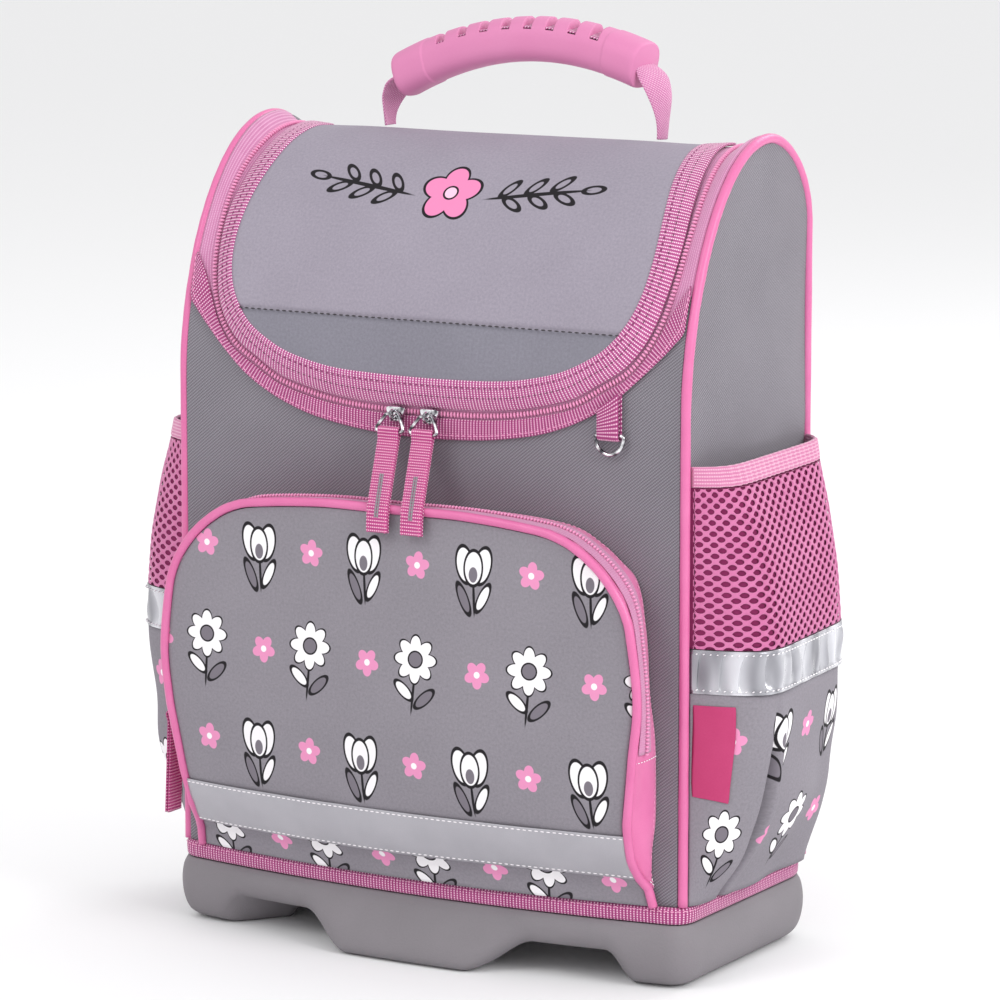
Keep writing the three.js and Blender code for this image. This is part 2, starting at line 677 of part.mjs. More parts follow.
// Places round the rim from the lower left over the top to the lower right, each with its outward direction
function pocketRim() {
  const half = POCKET_RIM.map(([share, width, , seamWidth, seamShare]) => ({
    x: width * POCKET_HALF_WIDTH,
    share,
    seamX: seamWidth * POCKET_HALF_WIDTH,
    seamZ: seamShare * POCKET_TOP,
  }));
  const last = half[half.length - 1];
  const middle = { x: 0, share: 1, seamX: 0, seamZ: last.seamZ };
  const left = half.map((place) => ({ ...place, x: -place.x, seamX: -place.seamX }));
  const rim = [...left, middle, ...half.slice().reverse()];
  return rim.map((place, k) => {
    const [before, after] = [rim[Math.max(k - 1, 0)], rim[Math.min(k + 1, rim.length - 1)]];
    const heading = vector(after.x - before.x, 0, (after.share - before.share) * POCKET_TOP).normalize();
    const z = place.share * POCKET_TOP;
    const edge = vector(place.x, -pocketDepth(place.x, place.share), z);
    const seam = vector(place.seamX, -frontBow(place.seamX, place.seamZ) - 2 * SEAM, place.seamZ);
    return { edge, seam, out: vector(-heading.z, 0, heading.x) };
  });
}

const rim = pocketRim();
const rimMiddle = (rim.length - 1) / 2;

function makePocketFront() {
  const rows = POCKET_RIM.length - 1;
  return makeWall(8, rows, (u, v, w) => {
    const { edge, out } = rim[rim.length - 1 - Math.round(v * rows)];
    const inset = v === 0 ? 0 : POCKET_PIPING + SEAM;
    const z = edge.z - inset * out.z;
    const half = edge.x - (POCKET_PIPING + SEAM) * (v === 0 ? 1 : out.x);
    const x = mix(-half, half, u);
    return vector(x, -pocketDepth(x, z / POCKET_TOP) + w * POCKET_WALL, z);
  });
}

// A point on the pocket's gusset: along its rim by index, from the seam on the panel to the piping, and above it
function onGusset(index, share, rise) {
  const { edge, seam, out } = rim[index];
  const front = edge.clone().addScaledVector(out, -0.9);
  front.y += POCKET_PIPING + 1.6 * SEAM;
  const swell = 4 * share * (1 - share);
  return seam.clone().lerp(front, share).addScaledVector(out, rise + swell);
}

function makePocketGusset() {
  const columns = rim.length - 3;
  return makeWall(columns, 2, (u, v, w) => onGusset(1 + Math.round(u * columns), v, -w * GUSSET_WALL));
}

function makePocketPiping() {
  return makeTube(rim.map(({ edge }) => edge), POCKET_PIPING, 6, vector(0, 1, 0));
}

function makePocketCoil() {
  const start = rim.findIndex(({ edge }) => edge.z >= POCKET_ZIP_START);
  const columns = rim.length - 1 - 2 * start;
  return makeWall(columns, 1, (u, v, w) => {
    const index = start + Math.round(u * columns);
    const length = rim[index].edge.distanceTo(rim[index].seam);
    const share = 0.6 + (COIL_WIDTH * (v - 0.5)) / length;
    return onGusset(index, share, 2.2 * SEAM + (1 - w) * COIL_HEIGHT);
  });
}

function makePocketStrip() {
  const low = POCKET_STRIP_LOW;
  return makeWall(8, 3, (u, v, w) => {
    const z = low + v * POCKET_STRIP_HEIGHT;
    const half = lookUp(POCKET_RIM, z / POCKET_TOP, 1) * POCKET_HALF_WIDTH - POCKET_PIPING - 2 * SEAM;
    const x = mix(-half, half, u);
    return vector(x, -pocketDepth(x, z / POCKET_TOP) - 3 * SEAM - (1 - w) * STRIP_WALL, z);
  });
}

// How far the side pocket stands out, as a share of its bulge. Columns: height as a share of the mesh's top; bulge.
const SIDE_POCKET_SECTION = [
  [0.037, 0.10],
  [0.15, 0.56],
  [0.25, 0.78],
  [0.40, 0.95],
  [0.53, 1.00],
  [0.63, 1.00],
  [0.76, 0.92],
  [0.91, 0.70],
  [1.00, 0.50],
  [1.05, 0.40],
];

// A point on the side pocket's face: t from its front edge to its back edge, at a height, and above the face
function onSidePocket(side, t, z, rise) {
  const bulge = lookUp(SIDE_POCKET_SECTION, z / MESH_TOP, 1) * SIDE_POCKET_BULGE * (1 - (2 * t - 1) ** 8)
    * (1 + SIDE_POCKET_SKEW * (1 - 2 * t));
  const base = HALF_WIDTH - PANEL_SINK + SEAM + SIDE_POCKET_WALL;
  return vector(side * (base + bulge + rise), mix(PANEL_INSET, BODY_DEPTH - PANEL_INSET, t), z);
}

function makeSidePocketBand(side, low, high, columns, rows) {
  return makeWall(columns, rows, (u, v, w) => {
    const t = (1 - Math.cos(Math.PI * u)) / 2;
    return onSidePocket(side, t, mix(low, high, v), -w * SIDE_POCKET_WALL);
  });
}

function makeSideMesh(side) {
  const [columns, rows] = [2 * NET_COLUMNS + 1, 2 * NET_ROWS + 1];
  const place = (share, cells) => {
    const line = Math.round(share * (2 * cells + 1));
    const bar = NET_BAR / (cells + 1);
    const gap = (1 - NET_BAR) / cells;
    return Math.ceil(line / 2) * bar + Math.floor(line / 2) * gap;
  };
  const point = (u, v, w) => {
    const z = mix(STRIP_TOP + SEAM, MESH_TOP, place(v, NET_ROWS));
    return onSidePocket(side, place(u, NET_COLUMNS), z, -w * SIDE_POCKET_WALL);
  };
  return makeWall(columns, rows, point, { hole: (i, j) => i % 2 === 1 && j % 2 === 1 });
}

function makeSideLabel() {
  return makeWall(5, 1, (u, v, w) => {
    const t = mix(0.01, LABEL_REACH, u);
    const z = LABEL_LOW + v * LABEL_HEIGHT;
    return onSidePocket(1, t, z, 3 * SEAM + (1 - w) * LABEL_WALL);
  });
}

// The top's height over a place on it
function topHeight(x, y, rise) {
  let [low, high] = [toBend, toEnd];
  for (let turn = 0; turn < 30; turn += 1) {
    const middle = (low + high) / 2;
    if (onWrap(x, middle, rise).y < y) low = middle;
    else high = middle;
  }
  return onWrap(x, low, rise).z;
}

const handleDepth = APEX_SETBACK + HANDLE_SETBACK;
const gripMiddle = BODY_HEIGHT - TOP_DIP + LID_PROUD_TOP + GRIP_RISE;

// The handle's line: x across the bag, z up, askew by the grip's slant
function gripLine(x) {
  return vector(x, handleDepth, gripMiddle - GRIP_ARCH * (x / (GRIP_LENGTH / 2)) ** 2 + GRIP_SLANT * x);
}

function makeHandleGrip() {
  const [rings, sides] = [11, 10];
  const sections = Array.from({ length: rings }, (_, k) => {
    const x = (k / (rings - 1) - 0.5) * GRIP_LENGTH;
    const heading = gripLine(x + 0.1).sub(gripLine(x - 0.1)).normalize();
    const up = vector(-heading.z, 0, heading.x + 0.6).normalize();
    return Array.from({ length: sides }, (__, j) => {
      const angle = (2 * Math.PI * (j + 0.5)) / sides;
      const round = (value) => Math.sign(value) * Math.abs(value) ** 0.75;
      return gripLine(x)
        .add(vector(0, (round(Math.cos(angle)) * GRIP_DEPTH) / 2, 0))
        .addScaledVector(up, (round(Math.sin(angle)) * GRIP_HEIGHT) / 2);
    });
  });
  let solid = toSolid(makeLoft(sections));
  for (let slot = 0; slot < GRIP_SLOTS; slot += 1) {
    const x = (slot - (GRIP_SLOTS - 1) / 2) * SLOT_PITCH;
    const place = gripLine(x);
    const cutter = new THREE.BoxGeometry(SLOT_WIDTH, SLOT_LENGTH, 2 * SLOT_DEPTH);
    cutter.translate(place.x, place.y, place.z + GRIP_HEIGHT / 2);
    solid = solid.subtract(toSolid(cutter));
  }
  return fromSolid(solid);
}

function makeHandleWebbing(side) {
  const end = gripLine((side * GRIP_LENGTH) / 2);
  const heading = end.clone().sub(gripLine((side * GRIP_LENGTH) / 2 - side)).normalize();
  const start = end.clone().addScaledVector(heading, SEAM);
  const foot = vector(side * HANDLE_SPREAD, handleDepth, topHeight(HANDLE_SPREAD, handleDepth, 0));
  const fall = start.z - foot.z;
  const curve = new THREE.CubicBezierCurve3(
    start,
    start.clone().addScaledVector(heading, fall * 0.3),
    foot.clone().add(vector(side * 3, 0, fall * 0.45)),
    foot,
  );
  return makeWall(1, 9, (u, v, w) => {
    const place = curve.getPoint(v);
    const run = curve.getTangent(v);
    const width = mix(WEBBING_WIDTH, WEBBING_FOOT, smooth(v * 1.4));
    place.y += (u - 0.5) * width;
    place.addScaledVector(vector(-run.z, 0, run.x), (0.5 - w) * WEBBING_WALL);
    if (v === 1) place.z = topHeight(place.x, place.y, LID_PROUD_TOP + 2 * SEAM);
    return place;
  });
}

// A zip slider lying on its coil, with a lug for the ring: x across, and the height of the coil's middle
function makeSlider(x, z, face) {
  const body = new THREE.BoxGeometry(SLIDER_LENGTH, SLIDER_HEIGHT, SLIDER_WIDTH);
  body.translate(x, face - SLIDER_HEIGHT / 2, z);
  const lug = new THREE.Shape();
  const out = face - SLIDER_HEIGHT - EYE_RADIUS - 0.3;
  lug.absarc(out, z, LUG_RADIUS, 0, 2 * Math.PI);
  const eye = new THREE.Path();
  eye.absarc(out, z, EYE_RADIUS, 0, 2 * Math.PI);
  lug.holes.push(eye);
  const lugSolid = toSolid(extrudeAlongX(lug, LUG_WIDTH, x, 6));
  const pinFree = toSolid(body).subtract(toSolid(extrudeAlongX(new THREE.Shape(eye.getPoints(12)), SLIDER_LENGTH * 2, x, 6)));
  return { geometry: fromSolid(pinFree.add(lugSolid)), eye: vector(x, out, z) };
}

// A wire ring that hangs from an eye, narrow above and wide below, turned forward by a lean
function makePullRing(eye, lean) {
  const corners = [
    [-RING_TOP / 2, 0], [0, 0], [RING_TOP / 2, 0], [RING_FOOT / 2, -RING_DROP],
    [0, -RING_DROP], [-RING_FOOT / 2, -RING_DROP],
  ];
  const down = vector(0, -Math.sin(lean), -Math.cos(lean));
  const places = corners.map(([across, drop]) => eye.clone().add(vector(across, 0, 0)).addScaledVector(down, -drop));
  const line = new THREE.CatmullRomCurve3(places, true, 'catmullrom', 0.3);
  const side = vector(1, 0, 0).cross(down).normalize();
  const foot = eye.clone().addScaledVector(down, RING_DROP);
  return { geometry: makeWire(14, 4, WIRE_RADIUS, (u) => line.getPoint(u), side), foot };
}

// A folded ribbon that goes round a wire: route(share) is its middle line below the wire, in a plane across `across`
function makeFoldedRibbon(wire, route, across, steps) {
  const half = (PULL_SLIT + PULL_WALL) / 2;
  const bend = WIRE_RADIUS + 1.3 * SEAM + PULL_WALL / 2;
  const layer = (share, sideSign) => {
    const run = route(Math.min(share + 0.01, 1)).sub(route(Math.max(share - 0.01, 0))).normalize();
    const out = across.clone().cross(run).normalize();
    return { place: route(share).addScaledVector(out, sideSign * half), out: out.multiplyScalar(sideSign) };
  };
  const first = route(0).sub(route(0.02)).normalize();
  const outFirst = across.clone().cross(first.clone().negate()).normalize();
  const stops = [];
  for (let k = steps; k >= 0; k -= 1) stops.push(layer(k / steps, -1));
  for (let k = 0; k <= 6; k += 1) {
    const angle = mix(-0.15 * Math.PI, 1.15 * Math.PI, k / 6);
    const out = outFirst.clone().multiplyScalar(-Math.cos(angle)).addScaledVector(first, Math.sin(angle));
    stops.push({ place: wire.clone().addScaledVector(out, bend), out });
  }
  for (let k = 0; k <= steps; k += 1) stops.push(layer(k / steps, 1));
  return makeWall(1, stops.length - 1, (u, v, w) => {
    const { place, out } = stops[Math.round(v * (stops.length - 1))];
    return place.clone().addScaledVector(across, (u - 0.5) * PULL_WIDTH).addScaledVector(out, (0.5 - w) * PULL_WALL);
  });
}

// The way a main pull falls: down, forward over the pocket's piping and down again. Columns: drop; reach.
const PULL_FALL = [
  [0, 0],
  [0.2, 0.26],
  [0.42, 0.70],
  [0.6, 1.0],
  [1, 1.04],
];

function addMainPull(name, x) {
  const coil = onLine('coil', (2 * x) / PANEL_EDGE);
  const face = -2.2 * SEAM - COIL_HEIGHT;
  const slider = makeSlider(x, coil.s - 1, face);
  addPiece(`zip_slider_${name}`, slider.geometry, 'steel');
  const ring = makePullRing(slider.eye, 0.35);
  addPiece(`pull_ring_${name}`, ring.geometry, 'steel');
  const thickness = 2 * PULL_WALL + PULL_SLIT;
  const first = ring.foot.clone().add(vector(0, -0.6, -WIRE_RADIUS - PULL_WALL - 2.2));
  const end = POCKET_TOP - PULL_HANG;
  const reach = -(POCKET_DEPTH + POCKET_CROWN + POCKET_PIPING + SEAM + thickness / 2);
  const places = PULL_FALL.map(([drop, out]) => vector(
    mix(first.x, first.x + PULL_LEAN, drop),
    mix(first.y, reach, out),
    mix(first.z, end, drop),
  ));
  const curve = new THREE.CatmullRomCurve3(places);
  const pull = makeFoldedRibbon(ring.foot, (share) => curve.getPoint(share), vector(1, 0, 0), 8);
  addPiece(`zip_pull_${name}`, pull, 'rosePink');
}

function addPocketPull() {
  const index = rim.findIndex(({ edge }) => edge.z >= POCKET_ZIP_START);
  const place = onGusset(index, 0.6, 4 * SEAM + COIL_HEIGHT);
  const body = new THREE.BoxGeometry(SLIDER_HEIGHT, SLIDER_WIDTH, SLIDER_LENGTH);
  body.translate(place.x - SLIDER_HEIGHT / 2, place.y, place.z);
  addPiece('pocket_slider', mergeBare(body), 'steel');
  const wire = vector(place.x - SLIDER_HEIGHT / 2 - 1, place.y, place.z - SLIDER_LENGTH / 2 - 3);
  const route = (share) => vector(wire.x - 2 * share, wire.y, wire.z - 3 - share * POCKET_PULL_LENGTH);
  addPiece('pocket_pull', makeFoldedRibbon(wire, route, vector(0, 1, 0), 3), 'rosePink');
}

// The small strap on the front: a folded ribbon round the straight bar of its ring
function addLoopAndRing() {
  const back = -SEAM;
  const bar = vector(LOOP_PLACE, back - PULL_WALL - SEAM - WIRE_RADIUS, LOOP_LOW + PULL_WALL + SEAM + WIRE_RADIUS);
  const across = vector(1, 0, 0);
  const edge = (x) => {
    let [low, high] = [0, openingLines.outer.reach];
    for (let turn = 0; turn < 30; turn += 1) {
      const middle = (low + high) / 2;
      if (onLine('outer', middle).x < x) low = middle;
      else high = middle;
    }
    return onLine('outer', low).s;
  };
  const radius = WIRE_RADIUS + SEAM + PULL_WALL / 2;
  const stops = [];
  for (const [share, sign] of [[1, 1], [0, 1]]) stops.push({ share, y: radius * sign, z: 0, out: [sign, 0] });
  for (let k = 1; k <= 5; k += 1) {
    const angle = (Math.PI * k) / 6;
    stops.push({ share: 0, y: radius * Math.cos(angle), z: -radius * Math.sin(angle), out: [Math.cos(angle), -Math.sin(angle)] });
  }
  for (const [share, sign] of [[0, -1], [1, -1]]) stops.push({ share, y: radius * sign, z: 0, out: [sign, 0] });
  const strap = makeWall(3, stops.length - 1, (u, v, w) => {
    const { share, y, z, out } = stops[Math.round(v * (stops.length - 1))];
    const x = LOOP_PLACE + (u - 0.5) * LOOP_WIDTH;
    const place = vector(x, bar.y + y, mix(bar.z, edge(x) - 2 * SEAM, share) + z);
    return place.add(vector(0, out[0], out[1]).multiplyScalar((0.5 - w) * PULL_WALL));
  });
  addPiece('ring_strap', strap, 'rosePink');
  const half = D_RING_WIDTH / 2;
  const corners = [[-half, 0], [0, 0], [half, 0], [half * 0.8, -D_RING_DROP * 0.66], [0, -D_RING_DROP], [-half * 0.8, -D_RING_DROP * 0.66]];
  const places = corners.map(([x, z]) => bar.clone().add(vector(x, 0, z)));
  const line = new THREE.CatmullRomCurve3(places, true, 'catmullrom', 0.5);
  addPiece('d_ring', makeWire(14, 4, WIRE_RADIUS, (u) => line.getPoint(u), vector(0, 1, 0)), 'steel');
}

function makeBackPad() {
  return makeWall(6, 8, (u, v, w) => {
    const corner = 1 - 0.1 * Math.abs(2 * v - 1) ** 6;
    const x = (u - 0.5) * PAD_WIDTH * corner;
    const edge = Math.max(Math.abs(2 * u - 1), Math.abs(2 * v - 1));
    const thickness = PAD_WALL * (edge > 0.99 ? 0.5 : 1);
    return vector(x, BODY_DEPTH + SEAM + (1 - w) * thickness, PAD_LOW + v * PAD_HEIGHT);
  });
}

// A shoulder strap's way down the back. Columns: drop from its top to its lower end; reach away from the back.
const SHOULDER_FALL = [
  [0, 0],
  [0.05, 0.04],
  [0.14, 0.55],
  [0.28, 0.88],
  [0.5, 1],
  [0.76, 0.76],
  [0.92, 0.46],
  [1, 0.4],
];

function shoulderCurve(side) {
  const places = SHOULDER_FALL.map(([drop, reach]) => vector(
    side * mix(SHOULDER_SPREAD, LOWER_SPREAD, smooth(drop) * 0.75),
    BODY_DEPTH + SEAM + SHOULDER_WALL / 2 + reach * SHOULDER_REACH,
    mix(SHOULDER_TOP, SHOULDER_LOW, drop),
  ));
  return new THREE.CatmullRomCurve3(places);
}

function makeShoulderStrap(side) {
  const curve = shoulderCurve(side);
  return makeWall(4, 14, (u, v, w) => {
    const run = curve.getTangent(v);
    const across = vector(1, 0, 0).cross(run).cross(run).normalize();
    const out = run.clone().cross(across).normalize();
    if (out.y < 0) out.negate();
    if (across.x < 0) across.negate();
    const width = SHOULDER_WIDTH - SHOULDER_TAPER * smooth(v);
    const wall = SHOULDER_WALL * (u === 0 || u === 1 ? 0.55 : 1);
    return curve.getPoint(v).addScaledVector(across, (u - 0.5) * width).addScaledVector(out, (0.5 - w) * wall);
  });
}

function addLowerStrap(name, side) {
  const end = shoulderCurve(side).getPoint(1);
  const adjuster = new THREE.BoxGeometry(ADJUSTER_WIDTH, ADJUSTER_WALL, ADJUSTER_HEIGHT);
  const middle = end.z - 4.4 * SEAM - ADJUSTER_HEIGHT / 2;
  adjuster.translate(end.x, end.y, middle);
  addPiece(`strap_adjuster_${name}`, mergeBare(adjuster), 'darkFoam');
  const start = vector(end.x, end.y, middle - ADJUSTER_HEIGHT / 2 - SEAM);
  const foot = vector(side * LOWER_SPREAD, BODY_DEPTH + SEAM + WEBBING_WALL / 2, LOWER_FOOT);
  const curve = new THREE.CubicBezierCurve3(
    start,
    start.clone().add(vector(0, 0, -0.3 * (start.z - foot.z))),
    foot.clone().add(vector(0, 0, 0.4 * (start.z - foot.z))),
    foot,
  );
  const webbing = makeBand(8, (v) => {
    const run = curve.getTangent(v);
    return {
      middle: curve.getPoint(v),
      across: vector(1, 0, 0),
      out: vector(0, -run.z, run.y).normalize(),
      width: LOWER_WEBBING,
      wall: WEBBING_WALL,
    };
  });
  addPiece(`strap_webbing_${name}`, webbing, 'rosePink');
}

addPiece('front_panel', makeFrontPanel(), 'greyTwill');
addPiece('lid', makeLid(), 'lilacGrey');
addPiece('lid_binding', makeLidBinding(), 'pinkGrosgrain');
addPiece('zip_tape', makeZipTape(), 'palePink');
addPiece('zip_coil', makeZipCoil(), 'pinkGrosgrain');
addPiece('opening_binding', makeOpeningBinding(), 'rosePink');
addPiece('back_panel', makeBackPanel(), 'greyTwill');
addPiece('back_pad', makeBackPad(), 'darkFoam');
addPiece('base_trim', makeBaseTrim(), 'pinkGrosgrain');
addPiece('base_tray', makeBaseTray(), 'warmGreyBase');
addPiece('pocket_front', makePocketFront(), 'printCloth');
addPiece('pocket_gusset', makePocketGusset(), 'pinkPiping');
addPiece('pocket_piping', makePocketPiping(), 'pinkPiping');
addPiece('pocket_zip_coil', makePocketCoil(), 'pinkGrosgrain');
addPiece('pocket_strip', makePocketStrip(), 'silverStrip');
addPiece('handle_grip', makeHandleGrip(), 'gripPink');

for (const [name, side] of [['left', -1], ['right', 1]]) {
  addPiece(`side_panel_${name}`, makeSidePanel(side), 'greyTwill');
  addPiece(`piping_${name}`, makePiping(side), 'pinkPiping');
  addPiece(`side_print_${name}`, makeSidePocketBand(side, BODY_START, PRINT_TOP, 8, 6), 'printCloth');
  addPiece(`side_strip_${name}`, makeSidePocketBand(side, PRINT_TOP + SEAM, STRIP_TOP, 8, 1), 'silverStrip');
  addPiece(`side_mesh_${name}`, makeSideMesh(side), 'hotPinkNet');
  const bandLow = MESH_TOP + SEAM;
  addPiece(`side_band_${name}`, makeSidePocketBand(side, bandLow, bandLow + BAND_HEIGHT, 8, 1), 'palePink');
  addPiece(`handle_webbing_${name}`, makeHandleWebbing(side), 'pinkGrosgrain');
  addPiece(`shoulder_strap_${name}`, makeShoulderStrap(side), 'darkFoam');
  addLowerStrap(name, side);
}
addPiece('side_label', makeSideLabel(), 'pinkPiping');
addMainPull('left', SLIDER_LEFT);
addMainPull('right', SLIDER_RIGHT);
addPocketPull();
addLoopAndRing();

// Stand the bag on the origin, in the middle of its own box
const box = new THREE.Box3().setFromObject(bag);
bag.position.set(-(box.min.x + box.max.x) / 2, -(box.min.y + box.max.y) / 2, -box.min.z);

export default bag;
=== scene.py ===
"""School ransel: cloth, bindings, zips, net, moulded base and fittings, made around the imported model.

Sizes are in millimetres until a mesh is made. In them z = 0 is the body's lower edge and y = 0 is the front
panel, as the bag's own sizes are measured. place_mm moves a point from there to the model's frame in metres.
"""
import math

import bmesh
import bpy
import numpy as np
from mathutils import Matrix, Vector


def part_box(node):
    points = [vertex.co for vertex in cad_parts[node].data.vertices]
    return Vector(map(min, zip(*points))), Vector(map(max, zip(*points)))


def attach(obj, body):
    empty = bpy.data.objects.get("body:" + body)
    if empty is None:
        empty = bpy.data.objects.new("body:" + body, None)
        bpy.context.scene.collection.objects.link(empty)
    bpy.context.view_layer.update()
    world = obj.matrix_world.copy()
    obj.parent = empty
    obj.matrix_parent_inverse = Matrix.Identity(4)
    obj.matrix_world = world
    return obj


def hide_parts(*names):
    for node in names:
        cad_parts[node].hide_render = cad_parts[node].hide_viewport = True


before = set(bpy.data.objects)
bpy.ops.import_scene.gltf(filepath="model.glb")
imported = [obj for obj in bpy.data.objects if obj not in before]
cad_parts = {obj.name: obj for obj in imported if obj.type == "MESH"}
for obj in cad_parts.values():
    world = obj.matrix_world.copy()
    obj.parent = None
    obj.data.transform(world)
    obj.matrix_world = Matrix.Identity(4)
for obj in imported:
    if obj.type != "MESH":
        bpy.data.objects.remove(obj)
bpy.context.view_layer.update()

# Where the bag's own sizes start, read from the base trim's back and its lower edge
TRIM_BACK = 122.5
TRIM_DROP = 1.0
trim_low, trim_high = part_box("base_trim")
SHIFT = np.array([0.0, trim_high[1] * 1000 - TRIM_BACK, trim_low[2] * 1000 + TRIM_DROP])

# The bag's sizes, as in its solids
HALF_WIDTH = 135.0
BODY_DEPTH = 121.0
BODY_HEIGHT = 349.0
FRONT_RISE = 228.0
BACK_RISE = 305.0
APEX_SETBACK = 79.0
FRONT_BOW = 12.0
TOP_DIP = 6.5
SIDE_BULGE = 3.0
SEAM = 0.35
PIPING_RADIUS = 2.3
PIPING_SEAT = 1.6
# How far cloth edges tuck under the piping
PIPING_TUCK = 0.25
PANEL_INSET = PIPING_SEAT + PIPING_RADIUS - PIPING_TUCK
PANEL_EDGE = HALF_WIDTH - PANEL_INSET
BODY_START = 7.35
LID_HEIGHT = 237.5
LID_PROUD = 6.5
LID_PROUD_TOP = 1.0
LID_SEAM = 263.5
HINGE_SETBACK = 7.0
POCKET_TOP = 182.0
POCKET_HALF_WIDTH = 126.0
POCKET_DEPTH = 28.5
POCKET_CROWN = 2.5
POCKET_PIPING = 2.1
SIDE_POCKET_BULGE = 31.0
SIDE_POCKET_SKEW = 0.15
# How far in from the piping the side panels lie, and the thickness of the side pockets' cloth
SIDE_SINK = 1
SIDE_POCKET_WALL = 1.4
MESH_TOP = 198.0
NAMES = {-1: "left", 1: "right"}
SIDE_AXIS = np.array([1.0, 0, 0])
DEPTH_AXIS = np.array([0, 1.0, 0])


def mix(a, b, share):
    return a + (b - a) * share


def smooth(value):
    share = np.clip(value, 0, 1)
    return share * share * (3 - 2 * share)


def unit(rows):
    """Rows of directions, each made one long."""
    return rows / np.linalg.norm(rows, axis=1)[:, None]


def squared(value, power):
    """A sine or cosine made squarer by a power under 1."""
    return math.copysign(abs(value) ** power, value)


def ripple(x, y, scale, seed):
    """A smooth wandering value from -1 to 1, made of a few waves in fixed odd directions."""
    rng = np.random.default_rng(seed)
    total = 0
    for _ in range(6):
        turn = rng.uniform(0, 2 * math.pi)
        start = rng.uniform(0, 2 * math.pi)
        length = scale * rng.uniform(0.6, 1.6)
        total = total + np.sin((x * math.cos(turn) + y * math.sin(turn)) * 2 * math.pi / length + start)
    return total / 3.2


def place_mm(points):
    return (np.asarray(points, float) + SHIFT) / 1000


# The side outline, from the bottom of the front over the top to the bottom of the back
def bezier(a, b, c, d, count):
    t = np.linspace(0, 1, count)[:, None]
    a, b, c, d = (np.array(p, float) for p in (a, b, c, d))
    return (1 - t) ** 3 * a + 3 * (1 - t) ** 2 * t * b + 3 * (1 - t) * t * t * c + t ** 3 * d


STRAIGHT_STEPS, CURVE_STEPS = 40, 400
front_curve = bezier(
    (0, FRONT_RISE), (0, mix(FRONT_RISE, BODY_HEIGHT, 0.446)),
    (0.405 * APEX_SETBACK, BODY_HEIGHT), (APEX_SETBACK, BODY_HEIGHT), CURVE_STEPS,
)
back_curve = bezier(
    (APEX_SETBACK, BODY_HEIGHT), (mix(APEX_SETBACK, BODY_DEPTH, 0.452), BODY_HEIGHT),
    (BODY_DEPTH, mix(BACK_RISE, BODY_HEIGHT, 0.568)), (BODY_DEPTH, BACK_RISE), CURVE_STEPS,
)
outline = np.vstack([
    np.column_stack([np.zeros(STRAIGHT_STEPS), np.linspace(0, FRONT_RISE, STRAIGHT_STEPS + 1)[:-1]]),
    front_curve[:-1], back_curve[:-1],
    np.column_stack([np.full(STRAIGHT_STEPS, BODY_DEPTH), np.linspace(BACK_RISE, 0, STRAIGHT_STEPS)]),
])
outline_s = np.concatenate([[0], np.cumsum(np.hypot(*np.diff(outline, axis=0).T))])
heading = np.gradient(outline, outline_s, axis=0)
heading /= np.hypot(*heading.T)[:, None]
to_bend = FRONT_RISE
to_apex = outline_s[STRAIGHT_STEPS + CURVE_STEPS - 1]
to_back = outline_s[STRAIGHT_STEPS + 2 * (CURVE_STEPS - 1)]
to_end = outline_s[-1]
hinge = to_apex + HINGE_SETBACK


def on_outline(s, rise):
    y, z = (np.interp(s, outline_s, outline[:, k]) for k in (0, 1))
    turn_y, turn_z = (np.interp(s, outline_s, heading[:, k]) for k in (0, 1))
    return y - turn_z * rise, z + turn_y * rise


def front_bow(x, z):
    return FRONT_BOW * (1 - (x / HALF_WIDTH) ** 2) * (1 - smooth(z / POCKET_TOP))


def top_dip(x, s):
    along = np.where(s < to_apex, (s - to_bend) / (to_apex - to_bend), (to_back - s) / (to_back - to_apex))
    return TOP_DIP * smooth(along) * (1 - smooth((np.abs(x) / PANEL_EDGE - 0.9) / 0.1))


def on_wrap(x, s, rise):
    x, s, rise = np.broadcast_arrays(x, s, rise)
    y, z = on_outline(s, rise - top_dip(x, s))
    bow = np.where(s < to_bend, front_bow(x, s), 0)
    return np.stack([x, y - bow, z], -1)


